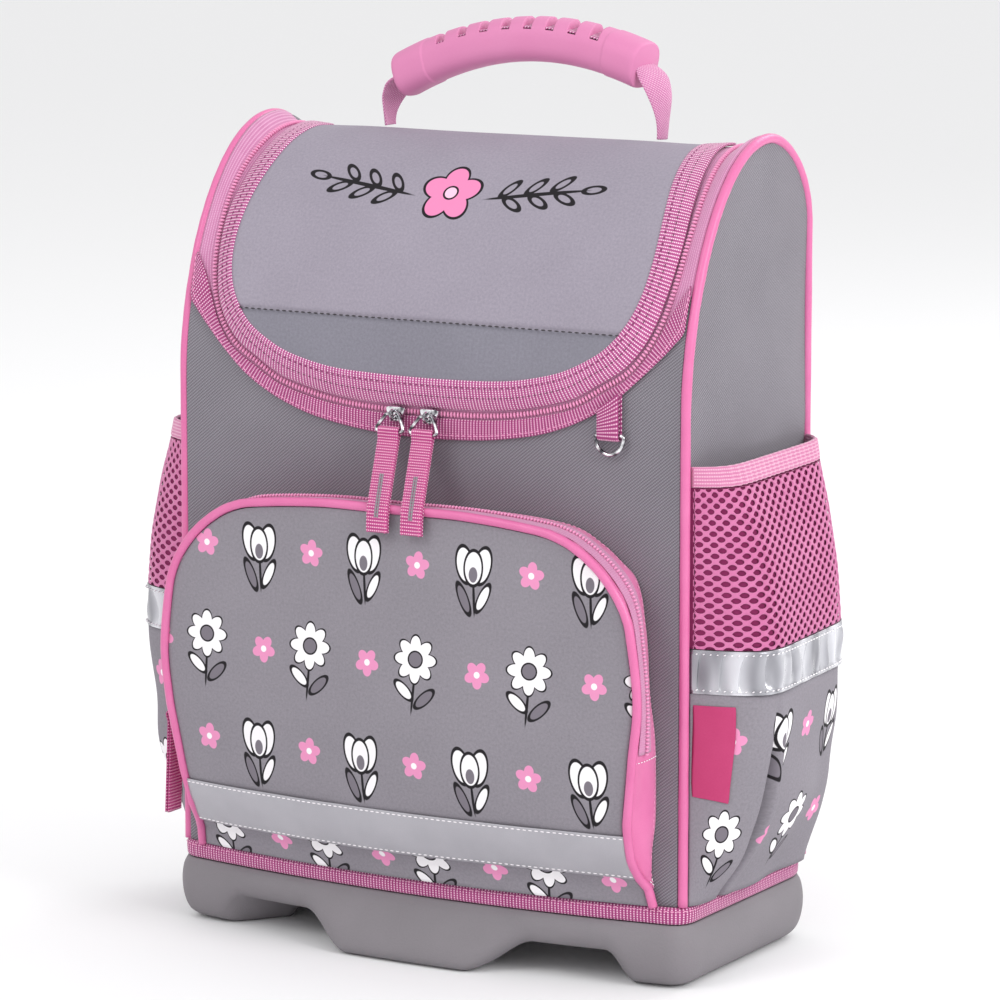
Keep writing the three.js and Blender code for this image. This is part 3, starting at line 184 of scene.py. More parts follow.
# Lines round the opening for one half of the bag, as shares: across and up for the lid, the lid's binding,
# the coil, the panel, and the inner and outer edge of the opening's binding
OPENING_LINES = [
    (0.000, 0.000, 0.000, -0.085, 0.000, -0.102, 0.000, -0.149, 0.000, -0.114, 0.000, -0.181),
    (0.207, 0.003, 0.207, -0.081, 0.207, -0.098, 0.207, -0.142, 0.207, -0.111, 0.207, -0.174),
    (0.344, 0.010, 0.348, -0.071, 0.348, -0.087, 0.350, -0.129, 0.350, -0.100, 0.352, -0.158),
    (0.459, 0.026, 0.470, -0.051, 0.474, -0.066, 0.482, -0.107, 0.477, -0.080, 0.486, -0.133),
    (0.566, 0.051, 0.593, -0.020, 0.599, -0.035, 0.613, -0.067, 0.604, -0.047, 0.623, -0.087),
    (0.658, 0.089, 0.692, 0.028, 0.701, 0.016, 0.724, -0.012, 0.711, 0.005, 0.738, -0.028),
    (0.727, 0.130, 0.780, 0.077, 0.792, 0.066, 0.817, 0.047, 0.804, 0.056, 0.830, 0.041),
    (0.780, 0.183, 0.844, 0.142, 0.857, 0.134, 0.887, 0.117, 0.870, 0.128, 0.906, 0.106),
    (0.818, 0.242, 0.883, 0.215, 0.898, 0.209, 0.938, 0.186, 0.915, 0.208, 0.964, 0.161),
    (0.841, 0.311, 0.905, 0.294, 0.922, 0.289, 0.979, 0.242, 0.952, 0.278, 0.999, 0.208),
    (0.851, 0.391, 0.919, 0.384, 0.935, 0.381, 1.000, 0.315, 0.997, 0.343, 1.000, 0.315),
    (0.849, 0.474, 0.924, 0.474, 0.940, 0.474, 1.000, 0.460),
    (0.837, 0.571, 0.916, 0.571, 0.941, 0.571, 1.000, 0.571),
    (0.818, 0.682, 0.902, 0.682, 0.935, 0.682, 1.000, 0.682),
    (0.803, 0.792, 0.887, 0.792, 0.925, 0.792, 1.000, 0.792),
    (0.792, 0.903, 0.874, 0.903, 0.918, 0.903, 1.000, 0.903),
    (0.788, 1.000, 0.868, 1.000, 0.910, 1.000, 1.000, 1.000),
]
STATIONS = len(OPENING_LINES) - 1
REACH = 10


def through(points, t):
    """A smooth curve through points, read at shares t from 0 to 1."""
    points = np.asarray(points, float)
    last = len(points) - 1
    ends = np.vstack([2 * points[0] - points[1], points, 2 * points[-1] - points[-2]])
    place = np.clip(np.asarray(t, float) * last, 0, last)
    k = np.minimum(place.astype(int), last - 1)
    w = (place - k)[..., None]
    a, b, c, d = (ends[k + n] for n in range(4))
    start, stop = 0.5 * (c - a), 0.5 * (d - b)
    return b + start * w + (3 * (c - b) - 2 * start - stop) * w ** 2 + (2 * (b - c) + start + stop) * w ** 3


def opening_line(column):
    half = [row for row in OPENING_LINES if len(row) > column]
    across = np.array([row[column] for row in half]) * PANEL_EDGE
    top = np.array([hinge if k == STATIONS else to_apex for k in range(len(half))])
    along = LID_HEIGHT + (top - LID_HEIGHT) * np.array([row[column + 1] for row in half])
    right = np.column_stack([across, along])
    left = right[:0:-1] * [-1, 1]
    return np.vstack([left, right]), len(half) - 1


LINES = {
    "lid": opening_line(0), "binding": opening_line(2), "coil": opening_line(4),
    "panel": opening_line(6), "inner": opening_line(8), "outer": opening_line(10),
}


def on_line(name, station):
    points, reach = LINES[name]
    place = through(points, np.clip((np.asarray(station, float) + reach) / (2 * reach), 0, 1))
    return np.clip(place[..., 0], -PANEL_EDGE, PANEL_EDGE), np.minimum(place[..., 1], hinge)


def between(a, b, share):
    return mix(a[0], b[0], share), mix(a[1], b[1], share)


def lid_rise(s):
    return mix(LID_PROUD, LID_PROUD_TOP, np.clip((s - LID_HEIGHT) / (to_apex - LID_HEIGHT), 0, 1) ** 3)


# The front pocket's rim, as shares: height, half width, depth, and the half width and height of its seam
POCKET_RIM = np.array([
    (0.0404, 0.966, 0.085, 0.964, 0.0404),
    (0.088, 0.957, 0.170, 0.957, 0.088),
    (0.121, 0.942, 0.340, 0.952, 0.121),
    (0.170, 0.937, 0.565, 0.955, 0.170),
    (0.264, 0.944, 0.772, 0.965, 0.264),
    (0.440, 0.980, 0.947, 0.962, 0.440),
    (0.577, 1.000, 0.982, 0.935, 0.577),
    (0.731, 0.976, 1.000, 0.915, 0.731),
    (0.794, 0.952, 1.000, 0.901, 0.805),
    (0.843, 0.913, 1.000, 0.877, 0.852),
    (0.893, 0.853, 1.000, 0.821, 0.893),
    (0.937, 0.774, 1.000, 0.742, 0.934),
    (0.967, 0.690, 1.000, 0.659, 0.964),
    (0.984, 0.579, 1.000, 0.556, 0.978),
    (1.000, 0.300, 1.000, 0.290, 0.989),
])


def pocket_depth(x, z):
    crown = POCKET_CROWN * (1 - (x / POCKET_HALF_WIDTH) ** 2)
    share = np.interp(z / POCKET_TOP, POCKET_RIM[:, 0], POCKET_RIM[:, 2])
    return share * POCKET_DEPTH + front_bow(x, z) + crown


rim_half = POCKET_RIM * [POCKET_TOP, POCKET_HALF_WIDTH, 1, POCKET_HALF_WIDTH, POCKET_TOP]
rim_left = np.column_stack([-rim_half[:, 1], rim_half[:, 0], -rim_half[:, 3], rim_half[:, 4]])
rim_rows = np.vstack([
    rim_left, [[0, POCKET_TOP, 0, rim_half[-1, 4]]], rim_left[::-1] * [-1, 1, -1, 1],
])


def rim_at(share):
    """The rim's edge, seam and outward direction, at shares from the lower left round to the lower right."""
    row = through(rim_rows, share)
    step = through(rim_rows, np.clip(share + 1e-3, 0, 1)) - through(rim_rows, np.clip(share - 1e-3, 0, 1))
    ahead = step[:, :2] / np.hypot(step[:, 0], step[:, 1])[:, None]
    out = np.stack([-ahead[:, 1], np.zeros(len(row)), ahead[:, 0]], -1)
    edge = np.stack([row[:, 0], -pocket_depth(row[:, 0], row[:, 1]), row[:, 1]], -1)
    seam = np.stack([row[:, 2], -front_bow(row[:, 2], row[:, 3]) - 2 * SEAM, row[:, 3]], -1)
    return edge, seam, out


def on_gusset(share, across, rise):
    edge, seam, out = rim_at(share)
    front = edge - 0.9 * out + [0, POCKET_PIPING + 1.6 * SEAM, 0]
    swell = 4 * across * (1 - across)
    return seam + (front - seam) * across + out * np.asarray(rise + swell).reshape(-1, 1)


SIDE_SECTION = np.array([
    (0.037, 0.10), (0.15, 0.56), (0.25, 0.78), (0.40, 0.95), (0.53, 1.00),
    (0.63, 1.00), (0.76, 0.92), (0.91, 0.70), (1.00, 0.50), (1.05, 0.40),
])
section_z = np.linspace(0, 215, 216)
section_bulge = np.convolve(
    np.pad(np.interp(section_z / MESH_TOP, SIDE_SECTION[:, 0], SIDE_SECTION[:, 1]), 12, mode="edge"),
    np.hanning(25) / np.hanning(25).sum(), mode="valid",
)


def on_side_pocket(side, t, z, rise):
    t, z, rise = np.broadcast_arrays(t, z, rise)
    bulge = np.interp(z, section_z, section_bulge) * SIDE_POCKET_BULGE
    bulge = bulge * (1 - (2 * t - 1) ** 8) * (1 + SIDE_POCKET_SKEW * (1 - 2 * t))
    base = HALF_WIDTH - SIDE_SINK + SEAM + SIDE_POCKET_WALL
    return np.stack([side * (base + bulge + rise), mix(PANEL_INSET, BODY_DEPTH - PANEL_INSET, t), z], -1)


# The plan of the body's lower edge, seen from above
def base_plan(steps):
    corner, back_corner = 9.0, 18.0
    flat = HALF_WIDTH - corner * 0.9
    at_corner = -FRONT_BOW * (1 - (flat / HALF_WIDTH) ** 2)
    back, side = BODY_DEPTH - back_corner, HALF_WIDTH - back_corner

    def bend(a, b, c, count):
        t = np.linspace(0, 1, count + 1)[:-1, None]
        a, b, c = (np.array(p, float) for p in (a, b, c))
        return (1 - t) ** 2 * a + 2 * (1 - t) * t * b + t * t * c

    def line(a, b, count):
        return bend(a, (np.array(a, float) + b) / 2, b, count)

    w, d = HALF_WIDTH, BODY_DEPTH
    return np.vstack([
        bend((-flat, at_corner), (0, -2 * FRONT_BOW - at_corner), (flat, at_corner), steps * 6),
        bend((flat, at_corner), (w, 0), (w, corner), steps),
        line((w, corner), (w, back), steps * 3),
        bend((w, back), (w, d), (side, d), steps),
        line((side, d), (-side, d), steps * 5),
        bend((-side, d), (-w, d), (-w, back), steps),
        line((-w, back), (-w, corner), steps * 3),
        bend((-w, corner), (-w, 0), (-flat, at_corner), steps),
    ])


plan = base_plan(18)
plan_step = np.roll(plan, -1, 0) - np.roll(plan, 1, 0)
plan_step /= np.hypot(*plan_step.T)[:, None]
plan_out = np.column_stack([plan_step[:, 1], -plan_step[:, 0]])
plan_share = np.arange(len(plan)) / len(plan)


def on_plan(u, out, z):
    k = np.round(u * len(plan)).astype(int) % len(plan)
    out = np.broadcast_to(out, k.shape)
    middle = np.array([0, BODY_DEPTH / 2])
    half = np.array([HALF_WIDTH, BODY_DEPTH / 2])
    outward = plan[k] + out[:, None] * plan_out[k]
    inward = middle + (plan[k] - middle) * (1 + out[:, None] / half)
    place = np.where(out[:, None] >= 0, outward, inward)
    return np.column_stack([place, np.broadcast_to(z, k.shape)])


# Meshes
def linked(name, data):
    """An object in the scene for a mesh, a lamp or a camera."""
    made = bpy.data.objects.new(name, data)
    bpy.context.scene.collection.objects.link(made)
    return made


def new_object(name, points, faces, uvs):
    """A mesh from points in the bag's own millimetres; uvs, in millimetres, has a pair for each corner."""
    mesh = bpy.data.meshes.new(name)
    mesh.from_pydata(place_mm(points).tolist(), [], faces)
    layer = mesh.uv_layers.new(name="cloth")
    layer.data.foreach_set("uv", (np.asarray(uvs, float) / 1000).ravel())
    mesh.polygons.foreach_set("use_smooth", [True] * len(mesh.polygons))
    mesh.update()
    return linked(name, mesh)


def sweep(name, shares, profile, place, ring=False, uv=None):
    """A closed solid: a closed profile of (across, height) shares, carried along u by place(u, v, h).

    A ring joins its last row to its first. Otherwise strips of quads close both ends.
    """
    u = np.asarray(shares, float)
    tracks = np.stack([place(u, v, h) for v, h in profile], 1)
    n, m = tracks.shape[:2]
    along = np.concatenate([[0], np.cumsum(np.linalg.norm(np.diff(tracks.mean(1), axis=0), axis=1))])
    middle = tracks[n // 2]
    loop = np.vstack([middle, middle[:1]])
    around = np.concatenate([[0], np.cumsum(np.linalg.norm(np.diff(loop, axis=0), axis=1))])
    total = along[-1] + np.linalg.norm(tracks[0].mean(0) - tracks[-1].mean(0))
    if uv is None:
        grid = np.stack(np.meshgrid(along, around, indexing="ij"), -1)
        closing = np.stack(np.meshgrid([total], around, indexing="ij"), -1)
    else:
        around_uv = [np.column_stack(np.broadcast_arrays(*uv(u, v, h))) for v, h in profile + profile[:1]]
        grid = np.stack(around_uv, 1)
        closing = grid[:1]
    grid = np.concatenate([grid, closing], 0)
    faces, uvs = [], []
    for i in range(n if ring else n - 1):
        i2 = (i + 1) % n
        for j in range(m):
            j2 = (j + 1) % m
            faces.append((i * m + j, i * m + j2, i2 * m + j2, i2 * m + j))
            uvs.extend((grid[i, j], grid[i, j + 1], grid[i + 1, j + 1], grid[i + 1, j]))
    if not ring:
        for end, turn in ((0, -1), (n - 1, 1)):
            for j in range(m // 2 - 1):
                quad = (j, j + 1, m - 2 - j, m - 1 - j)[::turn]
                faces.append(tuple(end * m + k for k in quad))
                uvs.extend(grid[end, k] for k in quad)
    piece = new_object(name, tracks.reshape(-1, 3), faces, uvs)
    face_outwards(piece)
    return piece


def face_outwards(piece):
    mesh = bmesh.new()
    mesh.from_mesh(piece.data)
    if mesh.calc_volume(signed=True) < 0:
        bmesh.ops.reverse_faces(mesh, faces=mesh.faces)
    mesh.to_mesh(piece.data)
    mesh.free()


def sheet_profile(rows, edge=0.0):
    """A wide sheet: its outer face, then its inner face back. An edge adds a point past each side."""
    outer = [(v, 1.0) for v in np.linspace(0, 1, rows)]
    inner = [(v, 0.0) for v in np.linspace(1, 0, rows)]
    return outer + [(1 + edge, 0.5)] * (edge > 0) + inner + [(-edge, 0.5)] * (edge > 0)


def ribbon_profile(rows=9, power=0.35):
    """A ribbon's rounded section, flat above with soft edges."""
    turns = np.linspace(0, 2 * math.pi, 4 * rows, endpoint=False) + 0.01
    return [(0.5 - 0.5 * squared(math.cos(a), power), 0.5 + 0.5 * squared(math.sin(a), 0.8)) for a in turns]


RIBBON = ribbon_profile(5)


def tube(name, points, radius, side, sides=14, ring=False, wobble=0.0):
    """A round piping or wire through points, which lie roughly in the plane across the direction side."""
    points = np.asarray(points, float)
    ahead = np.roll(points, -1, 0) - np.roll(points, 1, 0) if ring else np.gradient(points, axis=0)
    ahead = unit(ahead)
    out = unit(np.cross(ahead, side))
    flat = np.cross(out, ahead)
    shares = np.arange(len(points)) / max(len(points) - 1, 1)
    lump = 1 + wobble * ripple(np.arange(len(points)) * 1.0, 0, 9, 5)

    def place(u, v, h):
        angle = 2 * math.pi * v
        return points + (radius * lump)[:, None] * (math.cos(angle) * flat + math.sin(angle) * out)

    return sweep(name, shares, [(k / sides, 0) for k in range(sides)], place, ring=ring)


def join(name, pieces):
    """Several meshes made one piece, keeping each one's own material."""
    mesh = bmesh.new()
    made = bpy.data.meshes.new(name)
    for piece in pieces:
        slot = len(made.materials)
        for material in piece.data.materials:
            made.materials.append(material)
        before = len(mesh.faces)
        mesh.from_mesh(piece.data)
        mesh.faces.ensure_lookup_table()
        for face in mesh.faces[before:]:
            face.material_index += slot
        bpy.data.objects.remove(piece)
    mesh.to_mesh(made)
    mesh.free()
    return linked(name, made)


# Materials
MATH, MIX, VECTOR = "ShaderNodeMath", "ShaderNodeMix", "ShaderNodeVectorMath"
NOISE, MAPPING, PARTS = "ShaderNodeTexNoise", "ShaderNodeMapping", "ShaderNodeSeparateXYZ"
# Settings for a value times a number plus a number, for the same kept from 0 to 1, and for a blend of colours
SCALED = {"operation": "MULTIPLY_ADD"}
SHARE = {"operation": "MULTIPLY_ADD", "use_clamp": True}
BLEND = {"data_type": "RGBA", "out": 2}


def colour(hex_code):
    """An sRGB hex value turned to linear."""
    parts = [int(hex_code[k:k + 2], 16) / 255 for k in (0, 2, 4)]
    return [p / 12.92 if p <= 0.04045 else ((p + 0.055) / 1.055) ** 2.4 for p in parts] + [1.0]


def add(tree, kind, *values, out=0, **settings):
    """A node with its settings, and its sockets set or linked: in order, or by name where a value is a dict.

    It gives the output with the number out, or the node itself where out is None.
    """
    made = tree.nodes.new(kind)
    for key, value in settings.items():
        setattr(made, key, value)
    for order, value in enumerate(values):
        for socket, entry in (value if isinstance(value, dict) else {order: value}).items():
            if isinstance(entry, bpy.types.NodeSocket):
                tree.links.new(entry, made.inputs[socket])
            else:
                made.inputs[socket].default_value = entry
    return made if out is None else made.outputs[out]


def grains(vector, size_mm, detail=3.0, rough=0.6):
    """What a noise of a real size needs."""
    return {"Vector": vector, "Scale": 1000 / size_mm, "Detail": detail, "Roughness": rough}


def pair(dark, light):
    """The two colours of a blend."""
    return {6: colour(dark), 7: colour(light)}


def finish_of(name, tint, roughness, build=None, metallic=0.0, sheen=0.0, coat=0.0, bump=0.3, depth=0.0002,
              specular=0.2):
    """A Principled material. build(tree, uv) gives its colour, height and roughness, or None for each."""
    material = bpy.data.materials.new(name)
    material.use_nodes = True
    tree = material.node_tree
    shader = tree.nodes["Principled BSDF"]
    shader.inputs["Base Color"].default_value = colour(tint)
    shader.inputs["Roughness"].default_value = roughness
    shader.inputs["Metallic"].default_value = metallic
    shader.inputs["Sheen Weight"].default_value = sheen
    shader.inputs["Coat Weight"].default_value = coat
    shader.inputs["Specular IOR Level"].default_value = specular
    if build:
        shade, height, rough = build(tree, add(tree, "ShaderNodeUVMap", uv_map="cloth"))
        if shade is not None:
            tree.links.new(shade, shader.inputs["Base Color"])
        if rough is not None:
            tree.links.new(rough, shader.inputs["Roughness"])
        if height is not None:
            relief = add(tree, "ShaderNodeBump", {"Strength": bump, "Distance": depth, "Height": height})
            tree.links.new(relief, shader.inputs["Normal"])
    return material


# A wave texture of scale 1 has one band for each of these units
WAVE_UNIT = 20 / (2 * math.pi)


def bands(tree, vector, pitch_mm, turn=0.0, distortion=0.0):
    """Soft parallel bands of one pitch, across a direction turned from the cloth's u."""
    turned = add(tree, MAPPING, {"Vector": vector, "Rotation": (0, 0, turn)})
    return add(tree, "ShaderNodeTexWave", {
        "Vector": turned, "Scale": 1000 / pitch_mm / WAVE_UNIT, "Distortion": distortion, "Detail": 1.0,
    }, out=1, bands_direction="X")


def weave_build(dark, light, pitch=0.9, grain=0.35, turn=0.9):
    """Twill: fine slanting ribs over a fine grain, their crests painted lighter and their grooves darker as
    painted light and shade, with slow soft patches of darker and lighter tone.
    """
    def build(tree, uv):
        ribs = bands(tree, uv, pitch, turn)
        cross = bands(tree, uv, pitch * 0.8, turn + 1.5)
        grain_noise = add(tree, NOISE, grains(uv, 0.7))
        patches = add(tree, NOISE, grains(uv, 60, 2))
        height = add(tree, MATH, cross, 0.4, ribs, **SCALED)
        halved = add(tree, MATH, height, 0.5, operation="MULTIPLY")
        mixed = add(tree, MATH, grain_noise, grain, halved, **SCALED)
        lowered = add(tree, MATH, mixed, 0.12, operation="SUBTRACT")
        # The ribs' height, with the grain and slow patches, sets the colour: painted light on the crests and
        # painted shade between them
        share = add(tree, MATH, patches, 0.3, lowered, **SHARE)
        return add(tree, MIX, share, pair(dark, light), **BLEND), height, None
    return build


# Twill: matt, with slanting ribs 0.6 mm apart on the bag and drawn at 1.2 mm to show; the light they catch is
# painted into the colour
twill = finish_of("body twill, woven polyester", "716d73", 0.9, weave_build("545057", "938f97", 1.2),
                  sheen=0.15, bump=0.45, depth=0.0003)


def coated_ground(tree, uv, dark, light):
    """Coated cloth: a fine pebbled grain and faint slow shading."""
    grain = add(tree, NOISE, grains(uv, 1.3, 4, 0.75))
    patches = add(tree, NOISE, grains(uv, 45, 2))
    pebbled = add(tree, MATH, grain, 1.6, -0.5, **SCALED)
    share = add(tree, MATH, patches, 0.4, pebbled, **SHARE)
    return add(tree, MIX, share, pair(dark, light), **BLEND), grain


class Printer:
    """Draws printed motifs on a ground colour. Distances are in millimetres from a shape's edge."""

    # How steeply the print's edge turns from bare to inked
    EDGE = 6.0

    def __init__(self, tree, place, ground):
        self.tree, self.place, self.shade = tree, place, ground

    def local(self, x, y, turn, width=2, height=2):
        return add(self.tree, MAPPING, {
            "Vector": self.place, "Location": (x, y, 0), "Rotation": (0, 0, math.radians(turn)),
            "Scale": (width / 2, height / 2, 1),
        }, vector_type="TEXTURE")

    def oval(self, x, y, width, height, turn=0.0):
        local = self.local(x, y, turn, width, height)
        size = add(self.tree, VECTOR, local, out=1, operation="LENGTH")
        small = min(width, height) / 2
        return add(self.tree, MATH, size, small, -small, **SCALED)

    def blossom(self, x, y, radius, petals, depth, turn=0.0):
        local = self.local(x, y, turn)
        parts = add(self.tree, PARTS, local, out=None).outputs
        angle = add(self.tree, MATH, parts[1], parts[0], operation="ARCTAN2")
        turned = add(self.tree, MATH, angle, petals / 2, operation="MULTIPLY")
        swing = add(self.tree, MATH, turned, operation="COSINE")
        wave = add(self.tree, MATH, swing, operation="ABSOLUTE")
        reach = add(self.tree, MATH, wave, depth, radius - depth, **SCALED)
        size = add(self.tree, VECTOR, local, out=1, operation="LENGTH")
        return add(self.tree, MATH, size, reach, operation="SUBTRACT")

    def paint(self, distance, fill=None, ink=None, line=0.5):
        if fill:
            inside = add(self.tree, MATH, distance, -self.EDGE, 0.5, **SHARE)
            self.shade = add(self.tree, MIX, inside, {6: self.shade, 7: colour(fill)}, **BLEND)
        if ink:
            near = add(self.tree, MATH, distance, operation="ABSOLUTE")
            drawn = add(self.tree, MATH, near, -self.EDGE, self.EDGE * line + 0.5, **SHARE)
            self.shade = add(self.tree, MIX, drawn, {6: self.shade, 7: colour(ink)}, **BLEND)


def wrapped(tree, uv, shift, width, height):
    """Places in one cell of a repeat, in millimetres from the cell's middle."""
    grown = add(tree, VECTOR, uv, (1000, 1000, 0), (-shift[0], -shift[1], 0), **SCALED)
    high, low = (width / 2, height / 2, 1), (-width / 2, -height / 2, -1)
    return add(tree, VECTOR, grown, high, low, operation="WRAP")


INK, PETAL, LEAF_GREY, PRINT_PINK = "1e1b1f", "efecef", "77717a", "e08fb8"
REPEAT = (58, 92)


def print_build(tree, uv):
    """Tulips and daisies with stems and leaves in white, grey and ink, with small pink blossoms between."""
    ground, grain = coated_ground(tree, uv, "7b777e", "948f97")
    width, height = REPEAT
    tulip = Printer(tree, wrapped(tree, uv, (0, 0), width, height), ground)
    tulip.paint(tulip.oval(0.6, -8, 1.3, 17, 3), INK)
    tulip.paint(tulip.oval(-4.6, -9, 4.6, 15, 24), LEAF_GREY, INK, 0.38)
    tulip.paint(tulip.oval(5.2, -8, 4.6, 14, -26), PETAL, INK, 0.38)
    tulip.paint(tulip.oval(-4.4, 6.5, 8.6, 17, 12), PETAL, INK, 0.45)
    tulip.paint(tulip.oval(4.6, 6.5, 8.6, 17, -12), PETAL, INK, 0.45)
    tulip.paint(tulip.oval(0, 5.2, 9.2, 16, 0), PETAL, INK, 0.45)
    tulip.paint(tulip.oval(0, 2.2, 4.4, 7, 0), LEAF_GREY)
    daisy = Printer(tree, wrapped(tree, uv, (width / 2, height / 2), width, height), tulip.shade)
    daisy.paint(daisy.oval(-0.6, -9, 1.3, 18, -4), INK)
    daisy.paint(daisy.oval(5.4, -10.5, 5, 12.5, -48), LEAF_GREY, INK, 0.38)
    daisy.paint(daisy.oval(-5.6, -7.5, 5, 12, 50), PETAL, INK, 0.38)
    daisy.paint(daisy.blossom(0, 7, 11.2, 8, 3.6), PETAL, INK, 0.45)
    daisy.paint(daisy.oval(0, 7, 7.4, 7.4), LEAF_GREY, INK, 0.38)
    shade = daisy.shade
    for shift, turn in (((width / 2, 4), 10), ((3, height / 2 + 3), -14)):
        bloom = Printer(tree, wrapped(tree, uv, shift, width, height), shade)
        bloom.paint(bloom.blossom(0, 0, 6.4, 5, 2.4, turn), PRINT_PINK)
        bloom.paint(bloom.oval(0, 0, 3, 3), PETAL)
        shade = bloom.shade
    return shade, grain, None


# The leaves of one sprig on the lid: across, up and turn
SPRIG_LEAVES = ((30, 4, 52), (34, -4.5, -30), (43, 6, 50), (47, -2.5, -28), (56, 8.5, 46), (60, 0, -24))
LID_PRINT = (-4, 326)


def lid_build(tree, uv):
    """Lilac-grey above the seam and darker grey under it, with one pink blossom between two leafy sprigs."""
    upper, grain = coated_ground(tree, uv, "88828e", "a39ca9")
    lower, _ = coated_ground(tree, uv, "73717b", "8a8893")
    height = add(tree, PARTS, uv, out=1)
    above = add(tree, MATH, height, 4000.0, 0.5 - 4.0 * LID_SEAM, **SHARE)
    ground = add(tree, MIX, above, {6: lower, 7: upper}, **BLEND)
    grown = add(tree, VECTOR, uv, (1000, 1000, 0), (-LID_PRINT[0], -LID_PRINT[1], 0), **SCALED)
    folded = add(tree, VECTOR, grown, operation="ABSOLUTE")
    place = add(tree, "ShaderNodeCombineXYZ", add(tree, PARTS, folded), add(tree, PARTS, grown, out=1))
    drawn = Printer(tree, place, ground)
    drawn.paint(drawn.oval(45, 1.5, 52, 2.1, 9), INK)
    for x, y, turn in SPRIG_LEAVES:
        drawn.paint(drawn.oval(x, y, 11, 4.2, turn), None, INK, 0.6)
    drawn.paint(drawn.oval(73, 6, 10, 4.4, 12), None, INK, 0.6)
    bloom = Printer(tree, grown, drawn.shade)
    bloom.paint(bloom.blossom(0, 0, 15.5, 5, 5.2, 18), "e487b4", INK, 0.75)
    bloom.paint(bloom.oval(0, 0, 7, 7), "f3c3da", INK, 0.5)
    return bloom.shade, grain, None


# Coated cloth: smooth and matt with a fine pebbled grain, under the print and on the lid
print_cloth = finish_of("print cloth, coated polyester", "857f84", 0.72, print_build, bump=0.25, depth=0.0002)
lid_cloth = finish_of("lid cloth, coated polyester", "9f98a2", 0.72, lid_build, bump=0.3, depth=0.0002)
ALONG = math.pi / 2


def rib_build(dark, light, thread, pitch=1.5, thread_share=0.6, turn=0.0):
    """Ribbed tape: ribs across its length, darker where the ribs are low as painted shade in the grooves,
    with slow random tone and light threads that show between them.
    """
    def build(tree, uv):
        ribs = bands(tree, uv, pitch, turn, 0.15)
        dashes = bands(tree, uv, 1.1, turn + ALONG, 0.6)
        fuzz = add(tree, NOISE, grains(uv, 0.8, 3, 0.7))
        slow = add(tree, NOISE, grains(uv, 9, 2))
        # Low parts of the ribs are mixed towards the dark colour: painted shade in the grooves, over slow
        # random tone
        rib_part = add(tree, MATH, ribs, 0.6, operation="MULTIPLY")
        groove_shade_and_tone = add(tree, MATH, slow, 0.5, rib_part, **SHARE)
        ground = add(tree, MIX, groove_shade_and_tone, pair(dark, light), **BLEND)
        sharp = add(tree, MATH, ribs, 4.0, -2.4, **SHARE)
        broken = add(tree, MATH, dashes, 2.0, -0.5, **SHARE)
        threads = add(tree, MATH, sharp, broken, operation="MULTIPLY")
        show = add(tree, MATH, threads, thread_share, operation="MULTIPLY")
        shade = add(tree, MIX, show, {6: ground, 7: colour(thread)}, **BLEND)
        return shade, add(tree, MATH, fuzz, 0.5, ribs, **SCALED), None
    return build


# Grosgrain: pink ribs of about 1.5 mm with whitish threads between them, on the bindings and the pulls
grosgrain = finish_of("lid binding, ribbed polyester tape", "c96fa4", 0.75,
                      rib_build("962f70", "cc6fa5", "fbe6f0", 1.6, 1.0), sheen=0.3, bump=0.7, depth=0.0004)
dark_grosgrain = finish_of("edge binding, ribbed polyester tape", "bd5890", 0.78,
                           rib_build("87285f", "be5a95", "f6d0e2", 1.6, 0.95), sheen=0.25, bump=0.7,
                           depth=0.0004)
pull_ribbon = finish_of("pull ribbon, ribbed polyester", "cf6a9d", 0.75,
                        rib_build("a92c72", "d8619f", "f9d3e4", 1.5, 0.85), sheen=0.25, bump=0.9,
                        depth=0.0005)
# Zip tape: a flat weave, so its ribs are fine and shallow
pale_tape = finish_of("zip tape, woven polyester", "eaa3c8", 0.75,
                      rib_build("b8709a", "cf8fb5", "ecc6dc", 1.0, 0.4, ALONG), sheen=0.25, bump=0.4,
                      depth=0.0002)
# Handle webbing: fine slanting ribs
handle_cloth = finish_of("handle webbing, woven polyester", "d987b2", 0.75,
                         rib_build("b96a98", "dd92bd", "f6dbe8", 1.1, 0.6, 0.7), sheen=0.25, bump=0.6,
                         depth=0.0003)
# Elastic: ribs along the band, pale where it is stretched
elastic = finish_of("pocket edge, ribbed elastic", "ea92bd", 0.7,
                    rib_build("c26a97", "d797b5", "f3cfdf", 1.6, 0.5, ALONG), sheen=0.3, bump=0.6,
                    depth=0.0003)


def shaded_build(dark, light, grain_mm=0.8, slow_mm=22, slow_share=0.6, rough=None):
    """Two close shades under a fine grain. Rough, if given, is how much the grain roughens and from where."""
    def build(tree, uv):
        grain = add(tree, NOISE, grains(uv, grain_mm, 3, 0.65 if rough is None else 0.6))
        slow = add(tree, NOISE, grains(uv, slow_mm, 2))
        fine_part = add(tree, MATH, grain, 1 - slow_share, operation="MULTIPLY")
        share = add(tree, MATH, slow, slow_share, fine_part, **SHARE)
        uneven = None if rough is None else add(tree, MATH, grain, *rough, **SCALED)
        return add(tree, MIX, share, pair(dark, light), **BLEND), grain, uneven
    return build


# Piping: cord under coated cloth, slightly shiny
piping_cloth = finish_of("piping, coated cloth over cord", "d6609a", 0.42, shaded_build("c8558f", "e27cae"),
                         coat=0.15, bump=0.15, depth=0.0002, specular=0.5)
gusset_cloth = finish_of("pocket edge cloth, coated polyester", "dc70a4", 0.55,
                         shaded_build("cc5c96", "e788b5"), sheen=0.2, bump=0.2, depth=0.0002)
label_cloth = finish_of("side label, coated cloth", "d24a80", 0.6, shaded_build("ab2f60", "c44c7b"),
                        bump=0.15, depth=0.0002)
# Net: soft matt yarn, with a fine pink knit behind it that shows through its holes, its colour darkened with
# painted shade from inside the pocket
net_yarn = finish_of("net, knitted polyester", "d4609a", 0.75, shaded_build("b8548a", "d888b2", 1.2),
                     sheen=0.3, bump=0.6, depth=0.0003)
net_lining = finish_of("net backing, fine knit", "7c2450", 0.9, shaded_build("5f1a3e", "8d2f60", 1.0),
                       bump=0.5, depth=0.0003)


